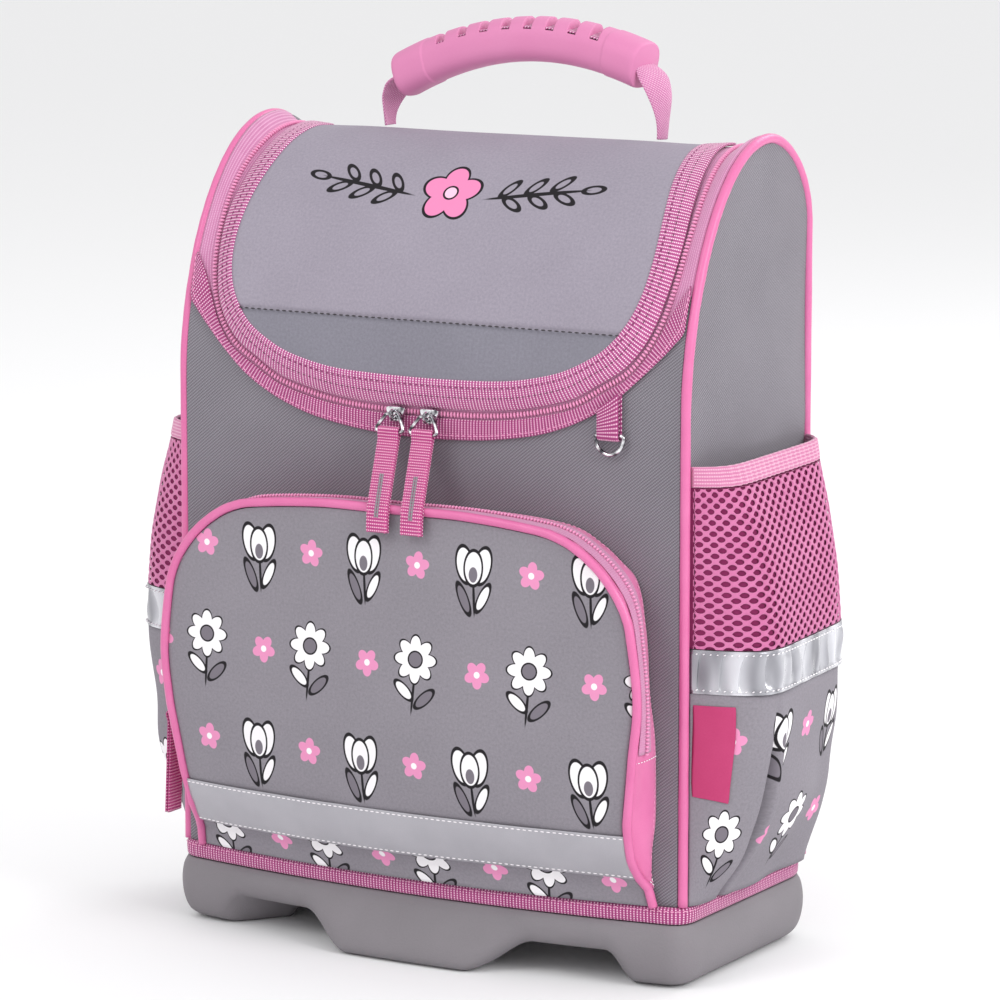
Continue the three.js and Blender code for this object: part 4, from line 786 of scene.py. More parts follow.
def silver_build(tree, uv):
    """Reflective strip: grey with a fine bead grain that is also painted in as faint glints, and slow soft
    streaks.
    """
    bead_grain_and_glints = add(tree, NOISE, grains(uv, 0.5, 2, 0.5))
    slow = add(tree, NOISE, grains(uv, 35, 3))
    fine_part = add(tree, MATH, bead_grain_and_glints, 0.3, operation="MULTIPLY")
    share = add(tree, MATH, slow, 0.7, fine_part, **SHARE)
    rough = add(tree, MATH, slow, 0.12, 0.36, **SCALED)
    return add(tree, MIX, share, pair("96949b", "c1bfc5"), **BLEND), bead_grain_and_glints, rough


# Reflective strip: flat silver grey, neither mirror nor matt
silver = finish_of("reflective strip, glass beads in plastic", "adadb2", 0.42, silver_build, metallic=0.35,
                   bump=0.08, depth=0.0001, specular=0.5)


def gloss_silver_build(tree, uv):
    """Painted bright and dark streaks across the strip, drawn out along its height, standing in for
    reflections in the creased film.
    """
    drawn_up = add(tree, VECTOR, uv, (1, 0.2, 1), operation="MULTIPLY")
    slow = add(tree, NOISE, grains(drawn_up, 13, 1))
    share = add(tree, MATH, slow, 3.4, -1.2, **SHARE)
    return add(tree, MIX, share, pair("7d7d84", "d6d6dc"), **BLEND), slow, None


# Side strip: clear film over silver, with bright streaks painted in for the reflections where it creases
gloss_silver = finish_of("side strip, film over silver", "bdbdc2", 0.24, gloss_silver_build, metallic=0.35,
                         coat=0.5, bump=0.3, depth=0.001, specular=0.5)


def moulded_build(dark, light, grain_mm):
    return shaded_build(dark, light, grain_mm, 55, 0.7, (0.2, 0.5))


# Moulded EVA: dull and slightly grainy, as the mould left it
base_plastic = finish_of("base, moulded EVA with fine grain", "8f8a8e", 0.62,
                         moulded_build("757175", "8f8a8f", 0.9), bump=0.5, depth=0.0003)
# Soft PVC: smooth with a broad soft gloss
grip_rubber = finish_of("grip, soft moulded PVC", "d987b3", 0.42, moulded_build("cc75a3", "d98bb4", 1.2),
                        bump=0.08, depth=0.0002, specular=0.4)


def chrome_build(tree, uv):
    """Plating: light and dark patches of about 4 mm stand in for a room's reflections."""
    slow = add(tree, NOISE, grains(uv, 4, 1))
    share = add(tree, MATH, slow, 4.0, -1.5, **SHARE)
    return add(tree, MIX, share, pair("4a4a50", "f2f2f5"), **BLEND), None, None


# Plated zinc: a bright mirror with sharp lights
chrome = finish_of("fittings, plated zinc", "a8a8ae", 0.16, chrome_build, metallic=1.0, bump=0.03,
                   depth=0.0001)
# Acetal: dark and half matt
adjuster_plastic = finish_of("strap adjuster, moulded acetal", "4a464b", 0.5,
                             moulded_build("433f44", "524e53", 0.8), bump=0.15, depth=0.0002)


def air_mesh_build(tree, uv):
    """Air mesh over foam: small round cells of about 2.2 mm."""
    cells = add(tree, "ShaderNodeTexVoronoi", {"Vector": uv, "Scale": 1000 / 2.2, "Randomness": 0.25})
    share = add(tree, MATH, cells, 1.3, -0.15, **SHARE)
    return add(tree, MIX, share, pair("3b373c", "78727a"), **BLEND), cells, None


# Air mesh: matt, with a dark dot in each cell
air_mesh = finish_of("back padding, air mesh over foam", "635d64", 0.9, air_mesh_build, sheen=0.2, bump=0.6,
                     depth=0.0006)


def thread_build(tree, uv):
    return None, add(tree, NOISE, grains(uv, 0.5)), None


def thread(name, tint):
    """Sewing thread: spun polyester, faintly fuzzy and half matt."""
    return finish_of(name + " thread, spun polyester", tint, 0.6, thread_build, sheen=0.2, bump=0.2,
                     depth=0.0001)


white_thread, dark_thread = thread("white", "f2eef1"), thread("dark", "3a363b")
pink_thread, rose_thread = thread("pink", "eb9cc4"), thread("rose", "d8689c")
plum_thread, grey_thread = thread("plum", "7a3a60"), thread("grey", "8d888f")


def dress(piece, node, material=None, replaces=True):
    """The piece rides on the bag's one body and takes its finish."""
    if material and not piece.data.materials:
        piece.data.materials.append(material)
    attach(piece, "root")
    if replaces:
        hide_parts(*([node] if isinstance(node, str) else node))
    return piece


# Small beads along a path, for stitches and zip teeth
def bead_tree():
    tree = bpy.data.node_groups.new("Beads along a path", "GeometryNodeTree")
    face = tree.interface
    face.new_socket("Geometry", in_out="INPUT", socket_type="NodeSocketGeometry")
    for name, value in (("Pitch", 0.003), ("Length", 0.002), ("Width", 0.0006), ("Height", 0.0006)):
        face.new_socket(name, in_out="INPUT", socket_type="NodeSocketFloat").default_value = value
    face.new_socket("Finish", in_out="INPUT", socket_type="NodeSocketMaterial")
    face.new_socket("Geometry", in_out="OUTPUT", socket_type="NodeSocketGeometry")
    given = add(tree, "NodeGroupInput", out=None).outputs
    path = add(tree, "GeometryNodeMeshToCurve", given["Geometry"])
    spaced = add(tree, "GeometryNodeResampleCurve", {"Curve": path, "Length": given["Pitch"]}, mode="LENGTH")
    out = add(tree, "GeometryNodeInputNamedAttribute", {"Name": "out"}, data_type="FLOAT_VECTOR")
    ahead = add(tree, "GeometryNodeInputTangent")
    turn = add(tree, "FunctionNodeAxesToRotation", out, ahead, primary_axis="Z", secondary_axis="X")
    ball = add(tree, "GeometryNodeMeshUVSphere", {"Segments": 8, "Rings": 5, "Radius": 0.5})
    soft = add(tree, "GeometryNodeSetShadeSmooth", ball)
    size = add(tree, "ShaderNodeCombineXYZ", given["Length"], given["Width"], given["Height"])
    beads_set = add(tree, "GeometryNodeInstanceOnPoints", {
        "Points": spaced, "Instance": soft, "Rotation": turn, "Scale": size,
    })
    real = add(tree, "GeometryNodeRealizeInstances", beads_set)
    finished = add(tree, "GeometryNodeSetMaterial", {"Geometry": real, "Material": given["Finish"]})
    add(tree, "NodeGroupOutput", finished, out=None)
    return tree


BEADS = bead_tree()


def beads(name, paths, pitch, size, material):
    """Beads of a length, width and height in mm, along paths: pairs of points and outward directions."""
    points, outs, edges = [], [], []
    for places, directions in paths:
        start = len(points)
        points.extend(np.asarray(places, float))
        outs.extend(np.broadcast_to(directions, np.shape(places)))
        edges.extend((k, k + 1) for k in range(start, len(points) - 1))
    mesh = bpy.data.meshes.new(name + " path")
    mesh.from_pydata(place_mm(points).tolist(), edges, [])
    mesh.attributes.new("out", "FLOAT_VECTOR", "POINT").data.foreach_set("vector", np.array(outs).ravel())
    carrier = linked(name + " path", mesh)
    modifier = carrier.modifiers.new("beads", "NODES")
    modifier.node_group = BEADS
    values = dict(zip(("Pitch", "Length", "Width", "Height"), (k / 1000 for k in (pitch, *size))))
    values["Finish"] = material
    for socket in BEADS.interface.items_tree:
        if socket.in_out == "INPUT" and socket.name in values:
            modifier[socket.identifier] = values[socket.name]
    ready = carrier.evaluated_get(bpy.context.evaluated_depsgraph_get())
    made = bpy.data.meshes.new_from_object(ready)
    made.name = name
    bpy.data.objects.remove(carrier)
    if not made.uv_layers:
        made.uv_layers.new(name="cloth")
    made.uv_layers[0].name = "cloth"
    if not made.materials:
        made.materials.append(material)
    return linked(name, made)


def path_on(place, u, lift=0.01):
    """A path and its outward directions from place(u, rise), found by raising it a little."""
    low, high = place(u, 0.0), place(u, 1.0)
    out = high - low
    return low + out * lift, unit(out)


def fine(count):
    return np.linspace(0, 1, count)


def fade(share, steep):
    """From 0 at both ends of a share to 1 between them."""
    return smooth((1 - np.abs(2 * share - 1)) * steep)


# Body
CLOTH_WALL = 2
LID_WALL = 4
SAG_LENGTH = 90
# A stitch's length, width and height, and how far apart stitches are
STITCH = (2.2, 0.55, 0.45)
STITCH_PITCH = 3.0


def front_cloth(u, v, h):
    x, s = front_uv(u, v, h)
    sag = 0.5 * ripple(x, s, SAG_LENGTH, 3) * smooth(v * 6) * smooth((1 - v) * 6)
    return on_wrap(x, s, -CLOTH_WALL * (1 - h) + np.minimum(sag, 0.15))


def front_uv(u, v, h):
    x, top = on_line("panel", mix(-REACH, REACH, u))
    return x, mix(BODY_START, top, v)


front = sweep("front_cloth", fine(141), sheet_profile(64), front_cloth, uv=front_uv)
dress(front, "front_panel", twill)


def lid_place(u, v, h):
    across, s = lid_uv(u, v, h)
    groove = 0.9 * np.exp(-((s - LID_SEAM) / 1.3) ** 2)
    soft = 0.5 * ripple(across, s, 110, 8) * fade(v, 5)
    return on_wrap(across, s, lid_rise(s) - LID_WALL * (1 - h) + (soft - groove - 0.4) * h)


def lid_uv(u, v, h):
    x, s = on_line("lid", mix(1, STATIONS, u))
    return (2 * v - 1) * x, s


dress(sweep("lid_cloth", fine(220), sheet_profile(76), lid_place, uv=lid_uv), "lid", lid_cloth)
# The lid's binding: how far it laps the lid, how its slope bends, how high it ends over the panel, and its
# thickness
BINDING_LAP = 1.2
BINDING_BEND = 1.6
BINDING_FOOT = 2 * SEAM + 1.3
BINDING_THICK = 1.6


def beside_lid(u, start, share):
    """Across the lid's binding at a share, counted from a start past the lid's edge, and its rise there."""
    station = mix(-STATIONS, STATIONS, u)
    lid, edge = on_line("lid", station), on_line("binding", station)
    length = np.hypot(edge[0] - lid[0], edge[1] - lid[1])
    x, s = between(lid, edge, mix(start / length, 1, share))
    return x, s, mix(lid_rise(lid[1]), BINDING_FOOT, max(share, 0) ** BINDING_BEND)


def lid_binding_place(u, v, h):
    x, s, rise = beside_lid(u, -BINDING_LAP, v)
    return on_wrap(x, s, rise + 0.35 - BINDING_THICK * (1 - h))


along_opening = fine(560)
lid_tape = sweep("lid_edge_tape", along_opening, RIBBON, lid_binding_place)
dress(lid_tape, "lid_binding", grosgrain)


def tape_place(u, v, h):
    station = mix(-STATIONS, STATIONS, u)
    coil = on_line("coil", station)
    inner = between(coil, on_line("lid", station), 0.62)
    outer = on_line("panel", station)
    first, second = between(inner, coil, min(v * 2, 1)), between(coil, outer, max(v * 2 - 1, 0))
    x, s = first if v < 0.5 else second
    return on_wrap(x, s, -1.2 * (1 - h))


def coil_place(u, rise):
    x, s = on_line("coil", mix(-STATIONS, STATIONS, u))
    return on_wrap(x, s, 0.9 + rise)


opening_tape = sweep("opening_tape", along_opening, sheet_profile(15), tape_place)
dress(opening_tape, "zip_tape", pale_tape)
teeth = beads("opening_teeth", [path_on(coil_place, fine(600))], 1.75, (1.15, 2.9, 1.9), pink_thread)
dress(teeth, "zip_coil")


def beside_opening(u, share):
    station = mix(-REACH, REACH, u)
    return between(on_line("inner", station), on_line("outer", station), share)


def opening_binding_place(u, v, h):
    return on_wrap(*beside_opening(u, v), 2 * SEAM - 0.1 + 1.5 * h)


edge_tape = sweep("opening_edge_tape", fine(360), RIBBON, opening_binding_place)
dress(edge_tape, "opening_binding", dark_grosgrain)
# The side panels are free to bulge from here up, above the side pockets
SIDE_FREE_FROM = 212


# The side outline at a height, moved in by an inset
def outline_spans(z, inset):
    y_in, z_in = on_outline(outline_s, -inset)
    top = int(np.argmax(z_in))
    front = np.interp(z, z_in[:top + 1], y_in[:top + 1])
    back = np.interp(z, z_in[top:][::-1], y_in[top:][::-1])
    return front, back, z_in[top]


def side_panel(side):
    top = outline_spans(np.array([0.0]), PANEL_INSET)[2] - 0.2

    def uv(u, v, h):
        z = mix(BODY_START, top, 1 - (1 - u) ** 1.7)
        front, back, _ = outline_spans(z, PANEL_INSET)
        return mix(front, back, v), z

    def place(u, v, h):
        y, z = uv(u, v, h)
        bulge = SIDE_BULGE * (1 - (2 * v - 1) ** 2) * np.sin(math.pi * np.clip(z / BODY_HEIGHT, 0, 1))
        soft = 0.6 * ripple(z, v * 110, 80, 11 + side)
        above_pocket = z > SIDE_FREE_FROM
        x = HALF_WIDTH - SIDE_SINK + bulge + np.minimum(soft, 0.2) * above_pocket - CLOTH_WALL * (1 - h)
        return np.stack([side * x, y, z], -1)

    return sweep("side_cloth_" + NAMES[side], fine(120), sheet_profile(50), place, uv=uv)


for side in (-1, 1):
    dress(side_panel(side), "side_panel_" + NAMES[side], twill)
    s = np.concatenate([np.linspace(BODY_START, to_bend, 60)[:-1], np.linspace(to_bend, to_back, 150)[:-1],
                        np.linspace(to_back, to_end - BODY_START, 60)])
    y, z = on_outline(s, -PIPING_SEAT)
    cord = np.stack([np.full(len(s), side * (HALF_WIDTH - PIPING_SEAT)), y, z], -1)
    piping = tube("body_piping_" + NAMES[side], cord, PIPING_RADIUS, SIDE_AXIS, 14, wobble=0.03)
    dress(piping, "piping_" + NAMES[side], piping_cloth)


def back_cloth(u, v, h):
    x = (2 * u - 1) * PANEL_EDGE
    s = mix(hinge + 1.3 * SEAM, to_end - BODY_START, v)
    slack = np.minimum(0.5 * ripple(x, s, SAG_LENGTH, 4), 0.1)
    return on_wrap(x, np.full(len(u), s), -CLOTH_WALL * (1 - h) + slack)


def back_uv(u, v, h):
    return (2 * u - 1) * PANEL_EDGE, np.full(len(u), v * 400)


back = sweep("back_cloth", fine(80), sheet_profile(84), back_cloth, uv=back_uv)
dress(back, "back_panel", twill)


# Base trim, a ribbed tape round the lower edge, and the moulded tray with its feet
def trim_place(u, v, h):
    bead = 0.5 * np.sin(math.pi * v)
    return on_plan(u, 1.5 + bead - 3.2 * (1 - h), mix(-TRIM_DROP, 7, v))


trim = sweep("lower_edge_tape", plan_share, RIBBON, trim_place, ring=True)
dress(trim, "base_trim", dark_grosgrain)
# The tray's section: its drop, its reach outwards, and its reach at the front nose
TRAY_SECTION = np.array([
    (0, 1.5, 1.5), (0.13, 3.4, 4.6), (0.34, 4.3, 8.2), (0.58, 3.8, 11.2), (0.78, 2.0, 12.8),
    (0.91, -1.0, 12.4), (0.98, -5.0, 9.6), (1, -10.0, 5.0), (1, -26.0, -12.0), (0.5, -33.0, -22.0),
])
TRAY_HEIGHT = 30
ARCH_HEIGHT = 14
TRAY_WALL = 2.6
CEILING_DROP = 15
# Where the nose ends and the corner feet start, from the middle, and half the slope between them and an arch
NOSE_END, NOSE_SLOPE = 46, 16
FOOT_START, FOOT_SLOPE = 106, 8
# How far in the ceiling's edge lies, and its middle
CEILING_EDGE, CEILING_MIDDLE = 33, 60.4


def tray_place(u, v, h):
    k = np.round(u * len(plan)).astype(int) % len(plan)
    middle, is_front = np.abs(plan[k][:, 0]), plan[k][:, 1] < 0
    nose = np.where(is_front, 1 - smooth((middle - NOSE_END + NOSE_SLOPE) / (2 * NOSE_SLOPE)), 0)
    foot = np.maximum(nose, smooth((middle - FOOT_START + FOOT_SLOPE) / (2 * FOOT_SLOPE)))
    top = -TRIM_DROP - SEAM
    ceiling = top - CEILING_DROP
    wall = TRAY_WALL * (1 - h)
    if v > 1:
        return on_plan(u, -mix(CEILING_EDGE, CEILING_MIDDLE, v - 1), ceiling + wall)
    row = through(TRAY_SECTION, np.array([v]))[0]
    z = top - min(row[0], 1.0) * (TRAY_HEIGHT - ARCH_HEIGHT * (1 - foot))
    if v > 8 / 9:
        z = mix(z, ceiling, smooth((v - 8 / 9) * 9))
    reach = mix(row[1], row[2], nose) - wall * (1 if v < 0.7 else -0.4)
    return on_plan(u, reach, z + wall * (0 if v < 0.3 else smooth((v - 0.3) * 2.5)))


def merged(piece):
    """The piece with the doubled points of its poles made one."""
    mesh = bmesh.new()
    mesh.from_mesh(piece.data)
    bmesh.ops.remove_doubles(mesh, verts=mesh.verts, dist=1e-6)
    mesh.to_mesh(piece.data)
    mesh.free()
    return piece


tray_rows = list(np.linspace(0, 1, 46)) + [1.3, 1.7, 2.0]
tray_profile = [(v, 1.0) for v in tray_rows] + [(v, 0.0) for v in tray_rows[::-1]]
tray = merged(sweep("moulded_base", plan_share, tray_profile, tray_place, ring=True))
dress(tray, "base_tray", base_plastic)


# Front pocket
def pocket_row(v):
    """Half width and height of the pocket cloth at a share of its rows, from low to high."""
    k = (1 - v) * 0.5 + 0.5
    edge, _, out = rim_at(np.array([k]))
    inset = POCKET_PIPING + SEAM
    half = edge[0, 0] - inset * max(out[0, 0], 0.0)
    return max(half, 8.0), edge[0, 2] - inset * smooth(v * 12) * out[0, 2]


def pocket_relief(x, z):
    """Slow hollows and swells of the filled pocket, fading out at its edges."""
    sides = smooth((POCKET_HALF_WIDTH - np.abs(x)) / 30)
    ends = sides * smooth((POCKET_TOP - z) / 26) * smooth((z - 8) / 14)
    tucks = 0.35 * np.sin(x / 5.5) * np.exp(-((z - 12) / 6) ** 2)
    return (1.3 * ripple(x, z, 105, 21) + tucks) * ends


def on_pocket(x, z, rise):
    return np.stack([x, -pocket_depth(x, z) - pocket_relief(x, z) - rise, np.full(len(x), z)], -1)


def pocket_cloth(u, v, h):
    half, z = pocket_row(v)
    return on_pocket((2 * u - 1) * half, z, -1.6 * (1 - h))


def pocket_uv(u, v, h):
    half, z = pocket_row(v)
    return (2 * u - 1) * half + POCKET_PRINT[0], np.full(len(u), z + POCKET_PRINT[1])


# How far the print lies along and up on the pocket
POCKET_PRINT = (14, 30)
POCKET_CLOTH_TOP = 0.985
pocket_rows = [(v, 1.0) for v in np.linspace(0, POCKET_CLOTH_TOP, 80)]
pocket_rows += [(v, 0.0) for v in np.linspace(POCKET_CLOTH_TOP, 0, 80)]
pocket = sweep("pocket_cloth", fine(140), pocket_rows, pocket_cloth, uv=pocket_uv)
dress(pocket, "pocket_front", print_cloth)

# The gusset and its zip, along the rim: one row of the rim is a step
rim_step = 1 / (len(rim_rows) - 1)
zip_from = 5.0 / (len(rim_rows) - 1)


def along_gusset(u):
    return mix(rim_step, 1 - rim_step, u)


def along_zip(u):
    return mix(zip_from, 1 - zip_from, u)


def gusset_place(u, v, h):
    share = along_gusset(u)
    wrinkle = 0.45 * ripple(share * 160, v * 20, 11, 31)
    return on_gusset(share, v, wrinkle - 1.2 * (1 - h))


gusset = sweep("pocket_edge_cloth", fine(300), sheet_profile(16), gusset_place)
dress(gusset, "pocket_gusset", gusset_cloth)
pocket_edge = rim_at(fine(320))[0]
rim_cord = tube("pocket_piping_cord", pocket_edge, POCKET_PIPING, DEPTH_AXIS, 14, wobble=0.03)
dress(rim_cord, "pocket_piping", piping_cloth)


def pocket_tape_place(u, v, h):
    return on_gusset(along_zip(u), mix(0.34, 0.86, v), 0.2 + 0.6 * h)


def pocket_teeth_place(u, rise):
    return on_gusset(along_zip(u), 0.6, 1.3 + rise)


dress(sweep("pocket_tape", fine(260), RIBBON, pocket_tape_place), "pocket_zip_coil", pale_tape)
teeth_row = [path_on(pocket_teeth_place, fine(400))]
pocket_teeth = beads("pocket_teeth", teeth_row, 1.7, (1.1, 2.7, 1.7), pink_thread)
dress(pocket_teeth, "pocket_zip_coil")
# The reflective strip's lower and upper edge, and its stitches' heights
STRIP_SPAN = (21, 43)
STRIP_STITCHES = (22.3, 41.7)


def strip_half(z):
    share = np.interp(z / POCKET_TOP, POCKET_RIM[:, 0], POCKET_RIM[:, 1])
    return share * POCKET_HALF_WIDTH - POCKET_PIPING + 0.4


def strip_at(u, z, rise):
    x = (2 * u - 1) * strip_half(z)
    wrinkle = np.maximum(0.4 * ripple(x, z * 3, 60, 41) * fade(u, 9), -0.15)
    return on_pocket(x, z, rise + wrinkle)


def strip_place(u, v, h):
    return strip_at(u, mix(*STRIP_SPAN, v), 0.75 + 0.8 * h)


strip = sweep("pocket_reflector", fine(160), ribbon_profile(7, 0.3), strip_place)
dress(strip, "pocket_strip", silver)


def gusset_row(u, rise):
    return on_gusset(along_gusset(u), 0.1, 0.15 + rise)


def over_gusset(share, ahead, start, stop, height):
    """A row of stitches over the edge cloth, from one share across it to another, moved ahead on its way."""
    def place(u, rise):
        return np.vstack([
            on_gusset(np.array([share + ahead * k]), mix(start, stop, k), height + rise) for k in u
        ])
    return place


edge_row = [path_on(gusset_row, fine(400))]
edge_stitches = beads("pocket_edge_stitches", edge_row, 2.8, (2.0, 0.5, 0.4), pink_thread)
dress(edge_stitches, "pocket_gusset", replaces=False)
zip_ends = [path_on(over_gusset(share, 0, 0, 1, 0.3), np.linspace(0.08, 0.92, 12))
            for share in (zip_from - 0.004, 1 - zip_from + 0.004)]
end_stitches = beads("pocket_zip_ends", zip_ends, 2.2, (1.6, 0.55, 0.5), white_thread)
dress(end_stitches, "pocket_gusset", replaces=False)

# A white cross sewn over the pocket's edge cloth at each lower end
cross_lines = []
for share, ahead in ((1.15 * rim_step, 0.013), (1 - 1.15 * rim_step, -0.013)):
    cross_lines.append(path_on(over_gusset(share, ahead, 0.15, 0.85, 0.2), fine(14)))
    cross_lines.append(path_on(over_gusset(share, ahead, 0.85, 0.15, 0.2), fine(14)))
cross = beads("pocket_cross", cross_lines, 1.9, (1.7, 0.6, 0.5), white_thread)
dress(cross, "pocket_gusset", replaces=False)
strip_paths = [path_on(lambda u, rise, z=z: strip_at(u, z, 1.6 + rise), mix(0.005, 0.995, fine(200)))
               for z in STRIP_STITCHES]
strip_stitches = beads("pocket_reflector_stitches", strip_paths, 2.9, (2.1, 0.55, 0.5), white_thread)
dress(strip_stitches, "pocket_strip", replaces=False)

# Side pockets: print, strip, net and band, from low to high
SIDE_PRINT_TOP = 105
SIDE_STRIP = (105.35, 125)
SIDE_STITCHES = (107.0, 123.4)
NET_SPAN = (125.6, 197.6)
BAND_SPAN = (198.35, 207.65)
# Where the pleat lies on the print, from front to back, and how deep it is
PLEAT_AT = 0.20
PLEAT_DEPTH = 9.0
# Creases of the side strip: where from front to back, and how deep
CREASES = ((0.055, 3.0), (0.115, 3.6), (0.16, 3.0), (0.235, 2.2), (0.8, 2.2))
SIDE_PRINT_SHIFT = (10, 12)


def depth_share(u):
    """Shares from front to back, close together at both ends, where the pocket turns."""
    return (1 - np.cos(math.pi * np.asarray(u))) / 2


def side_cloth(side):
    def place(u, v, h):
        t, z = depth_share(u), mix(BODY_START, SIDE_PRINT_TOP, v)
        low_down = smooth((SIDE_PRINT_TOP - z) / 75 + 0.1)
        pleat = PLEAT_DEPTH * np.exp(-((t - PLEAT_AT) / 0.015) ** 2) * low_down
        raised = low_down * (0.1 + 0.9 * smooth((z - 10) / 40))
        pleat = pleat - 0.45 * PLEAT_DEPTH * np.exp(-((t - PLEAT_AT - 0.045) / 0.03) ** 2) * raised
        soft = 1.5 * ripple(t * 110, z, 50, 50 + side) * fade(t, 6)
        return on_side_pocket(side, t, z, soft - pleat - SIDE_POCKET_WALL * (1 - h))
    return place


def side_length(side, z):
    """Lengths over the side pocket at a height, from front to back."""
    t = depth_share(fine(400))
    line = on_side_pocket(side, t, z, 0)
    return t, np.concatenate([[0], np.cumsum(np.linalg.norm(np.diff(line, axis=0), axis=1))])


def side_uv(side):
    t_line, length_line = side_length(side, 80.0)

    def uv(u, v, h):
        along = np.interp(depth_share(u), t_line, length_line) + SIDE_PRINT_SHIFT[0]
        return along, np.full(len(u), mix(BODY_START, SIDE_PRINT_TOP, v) + SIDE_PRINT_SHIFT[1])
    return uv


def side_strip(side):
    def place(u, v, h):
        t, z = depth_share(u), mix(*SIDE_STRIP, v)
        crease = 1.5 * ripple(t * 150, z * 0.6, 15, 60 + side) * fade(t, 8)
        edge = 0.6 * (abs(2 * v - 1) > 0.8)
        for at, depth in CREASES:
            crease = crease - depth * np.exp(-((u - at - 0.012 * v) / 0.011) ** 2)
        return on_side_pocket(side, t, z, 0.5 + crease * (1 - abs(2 * v - 1) ** 3) + edge - 1.5 * (1 - h))
    return place


def side_row(side, z):
    def place(u, rise):
        return on_side_pocket(side, depth_share(u), z, 1.5 + rise)
    return path_on(place, mix(0.03, 0.97, fine(160)))


def side_band(side):
    def place(u, v, h):
        t, z = depth_share(u), mix(*BAND_SPAN, v)
        gather = 0.35 * np.sin(t * 150) * fade(t, 8)
        return on_side_pocket(side, t, z, 0.8 + gather - 2.6 * (1 - h))
    return place


for side in (-1, 1):
    name = NAMES[side]
    print_piece = sweep("side_cloth_low_" + name, fine(280), sheet_profile(36), side_cloth(side),
                        uv=side_uv(side))
    dress(print_piece, "side_print_" + name, print_cloth)
    strip_piece = sweep("side_reflector_" + name, fine(280), sheet_profile(20, 0.01), side_strip(side))
    dress(strip_piece, "side_strip_" + name, gloss_silver)
    rows = [side_row(side, z) for z in SIDE_STITCHES]
    row_piece = beads("side_reflector_stitches_" + name, rows, 3.2, (2.3, 0.6, 0.5), white_thread)
    dress(row_piece, "side_strip_" + name, replaces=False)
    band_piece = sweep("side_elastic_" + name, fine(200), RIBBON, side_band(side))
    dress(band_piece, "side_band_" + name, elastic)

# Net: oval holes in staggered rows, with a fine knit behind it, coloured dark with painted shade
NET_PITCH = (7.4, 4.9)
NET_HOLE = (4.6, 2.6)
HOLE_CORNERS = 12


def make_net(side):
    t_line, length_line = side_length(side, 160.0)
    total = length_line[-1]
    tall = NET_SPAN[1] - NET_SPAN[0]
    columns = int(round(total / NET_PITCH[0]))
    rows = int(round(tall / (NET_PITCH[1] / 2)))
    step_x, step_z = total / columns, tall / rows
    angles = np.linspace(0, 2 * math.pi, HOLE_CORNERS, endpoint=False)
    hole = np.column_stack([np.cos(angles) * NET_HOLE[0] / 2, np.sin(angles) * NET_HOLE[1] / 2])
    cell = np.column_stack([np.cos(angles), np.sin(angles)])
    cell /= (np.abs(cell[:, 0]) / (step_x / 2) + np.abs(cell[:, 1]) / step_z)[:, None]
    flat, faces = [], []
    for row in range(rows + 1):
        for column in range(columns + 1):
            middle = np.array([(column + 0.5 * (row % 2)) * step_x, NET_SPAN[0] + row * step_z])
            start = len(flat)
            for place in np.vstack([hole * 0.97, mix(hole, cell, 0.4), cell]) + middle:
                flat.append((np.clip(place[0], 0.8, total - 0.8), np.clip(place[1], 125.5, 197.8)))
            for ring in (0, 1):
                for k in range(HOLE_CORNERS):
                    a = start + ring * HOLE_CORNERS + k
                    b = start + ring * HOLE_CORNERS + (k + 1) % HOLE_CORNERS
                    faces.append((a, b, b + HOLE_CORNERS, a + HOLE_CORNERS))
    flat = np.array(flat)
    t = np.interp(flat[:, 0], length_line, t_line)
    # A hole's lip lies low, the yarn round it is high, and where cells meet it is a little lower
    height = np.tile(np.repeat([0.0, 0.75, 0.55], HOLE_CORNERS), len(flat) // (3 * HOLE_CORNERS))
    points = on_side_pocket(side, t, flat[:, 1], -0.2 + height)
    net = new_object("net_" + NAMES[side], points, faces, [flat[k] for face in faces for k in face])
    mesh = bmesh.new()
    mesh.from_mesh(net.data)
    bad = [f for f in mesh.faces if f.calc_area() < 1e-9]
    bmesh.ops.delete(mesh, geom=bad, context="FACES")
    bmesh.ops.remove_doubles(mesh, verts=mesh.verts, dist=2e-5)
    mesh.normal_update()
    for found in mesh.faces:
        if found.normal.x * side < 0:
            found.normal_flip()
    mesh.to_mesh(net.data)
    mesh.free()
    net.data.materials.append(net_yarn)
    return net


for side in (-1, 1):
    net = make_net(side)

    def lining_place(u, v, h, side=side):
        return on_side_pocket(side, depth_share(u), mix(125.5, 198.2, v), -0.9 - 0.4 * (1 - h))

    lining = sweep("net_lining_" + NAMES[side], fine(90), sheet_profile(30), lining_place)
    lining.data.materials.append(net_lining)
    dress(join("side_net_" + NAMES[side], [net, lining]), "side_mesh_" + NAMES[side])

# Side label, bare, held in the seam of the right pocket
LABEL_REACH = 0.045
LABEL_LOW, LABEL_HEIGHT = 58, 42


def label_place(u, v, h):
    t = mix(0.0, LABEL_REACH, u)
    z = np.full(len(u), LABEL_LOW + LABEL_HEIGHT * v) - 2.5 * u * (1 - v)
    lift = 0.8 + 0.5 * np.sin(math.pi * u) + 0.35 * ripple(u * 20, v * 30, 22, 71)
    return on_side_pocket(1, t, z, lift + 0.9 * h)


label = sweep("side_tag", fine(30), ribbon_profile(7, 0.25), label_place)
dress(label, "side_label", label_cloth)

# Handle
GRIP_MIDDLE = BODY_HEIGHT - TOP_DIP + LID_PROUD_TOP + 43.5
HANDLE_DEPTH = APEX_SETBACK + 10
GRIP_LENGTH = 129.0
GRIP_ARCH = 14.6
GRIP_WIDE, GRIP_TALL = 12.5, 10.5
COLLAR_FROM = 47.5
SLOT_PITCH, SLOTS_END, SLOT_FLOOR = 11.5, 46, 4.6


def grip_line(x):
    z = GRIP_MIDDLE - GRIP_ARCH * (x / (GRIP_LENGTH / 2)) ** 2 + 0.07 * x
    return np.stack(np.broadcast_arrays(x, HANDLE_DEPTH, z), -1)


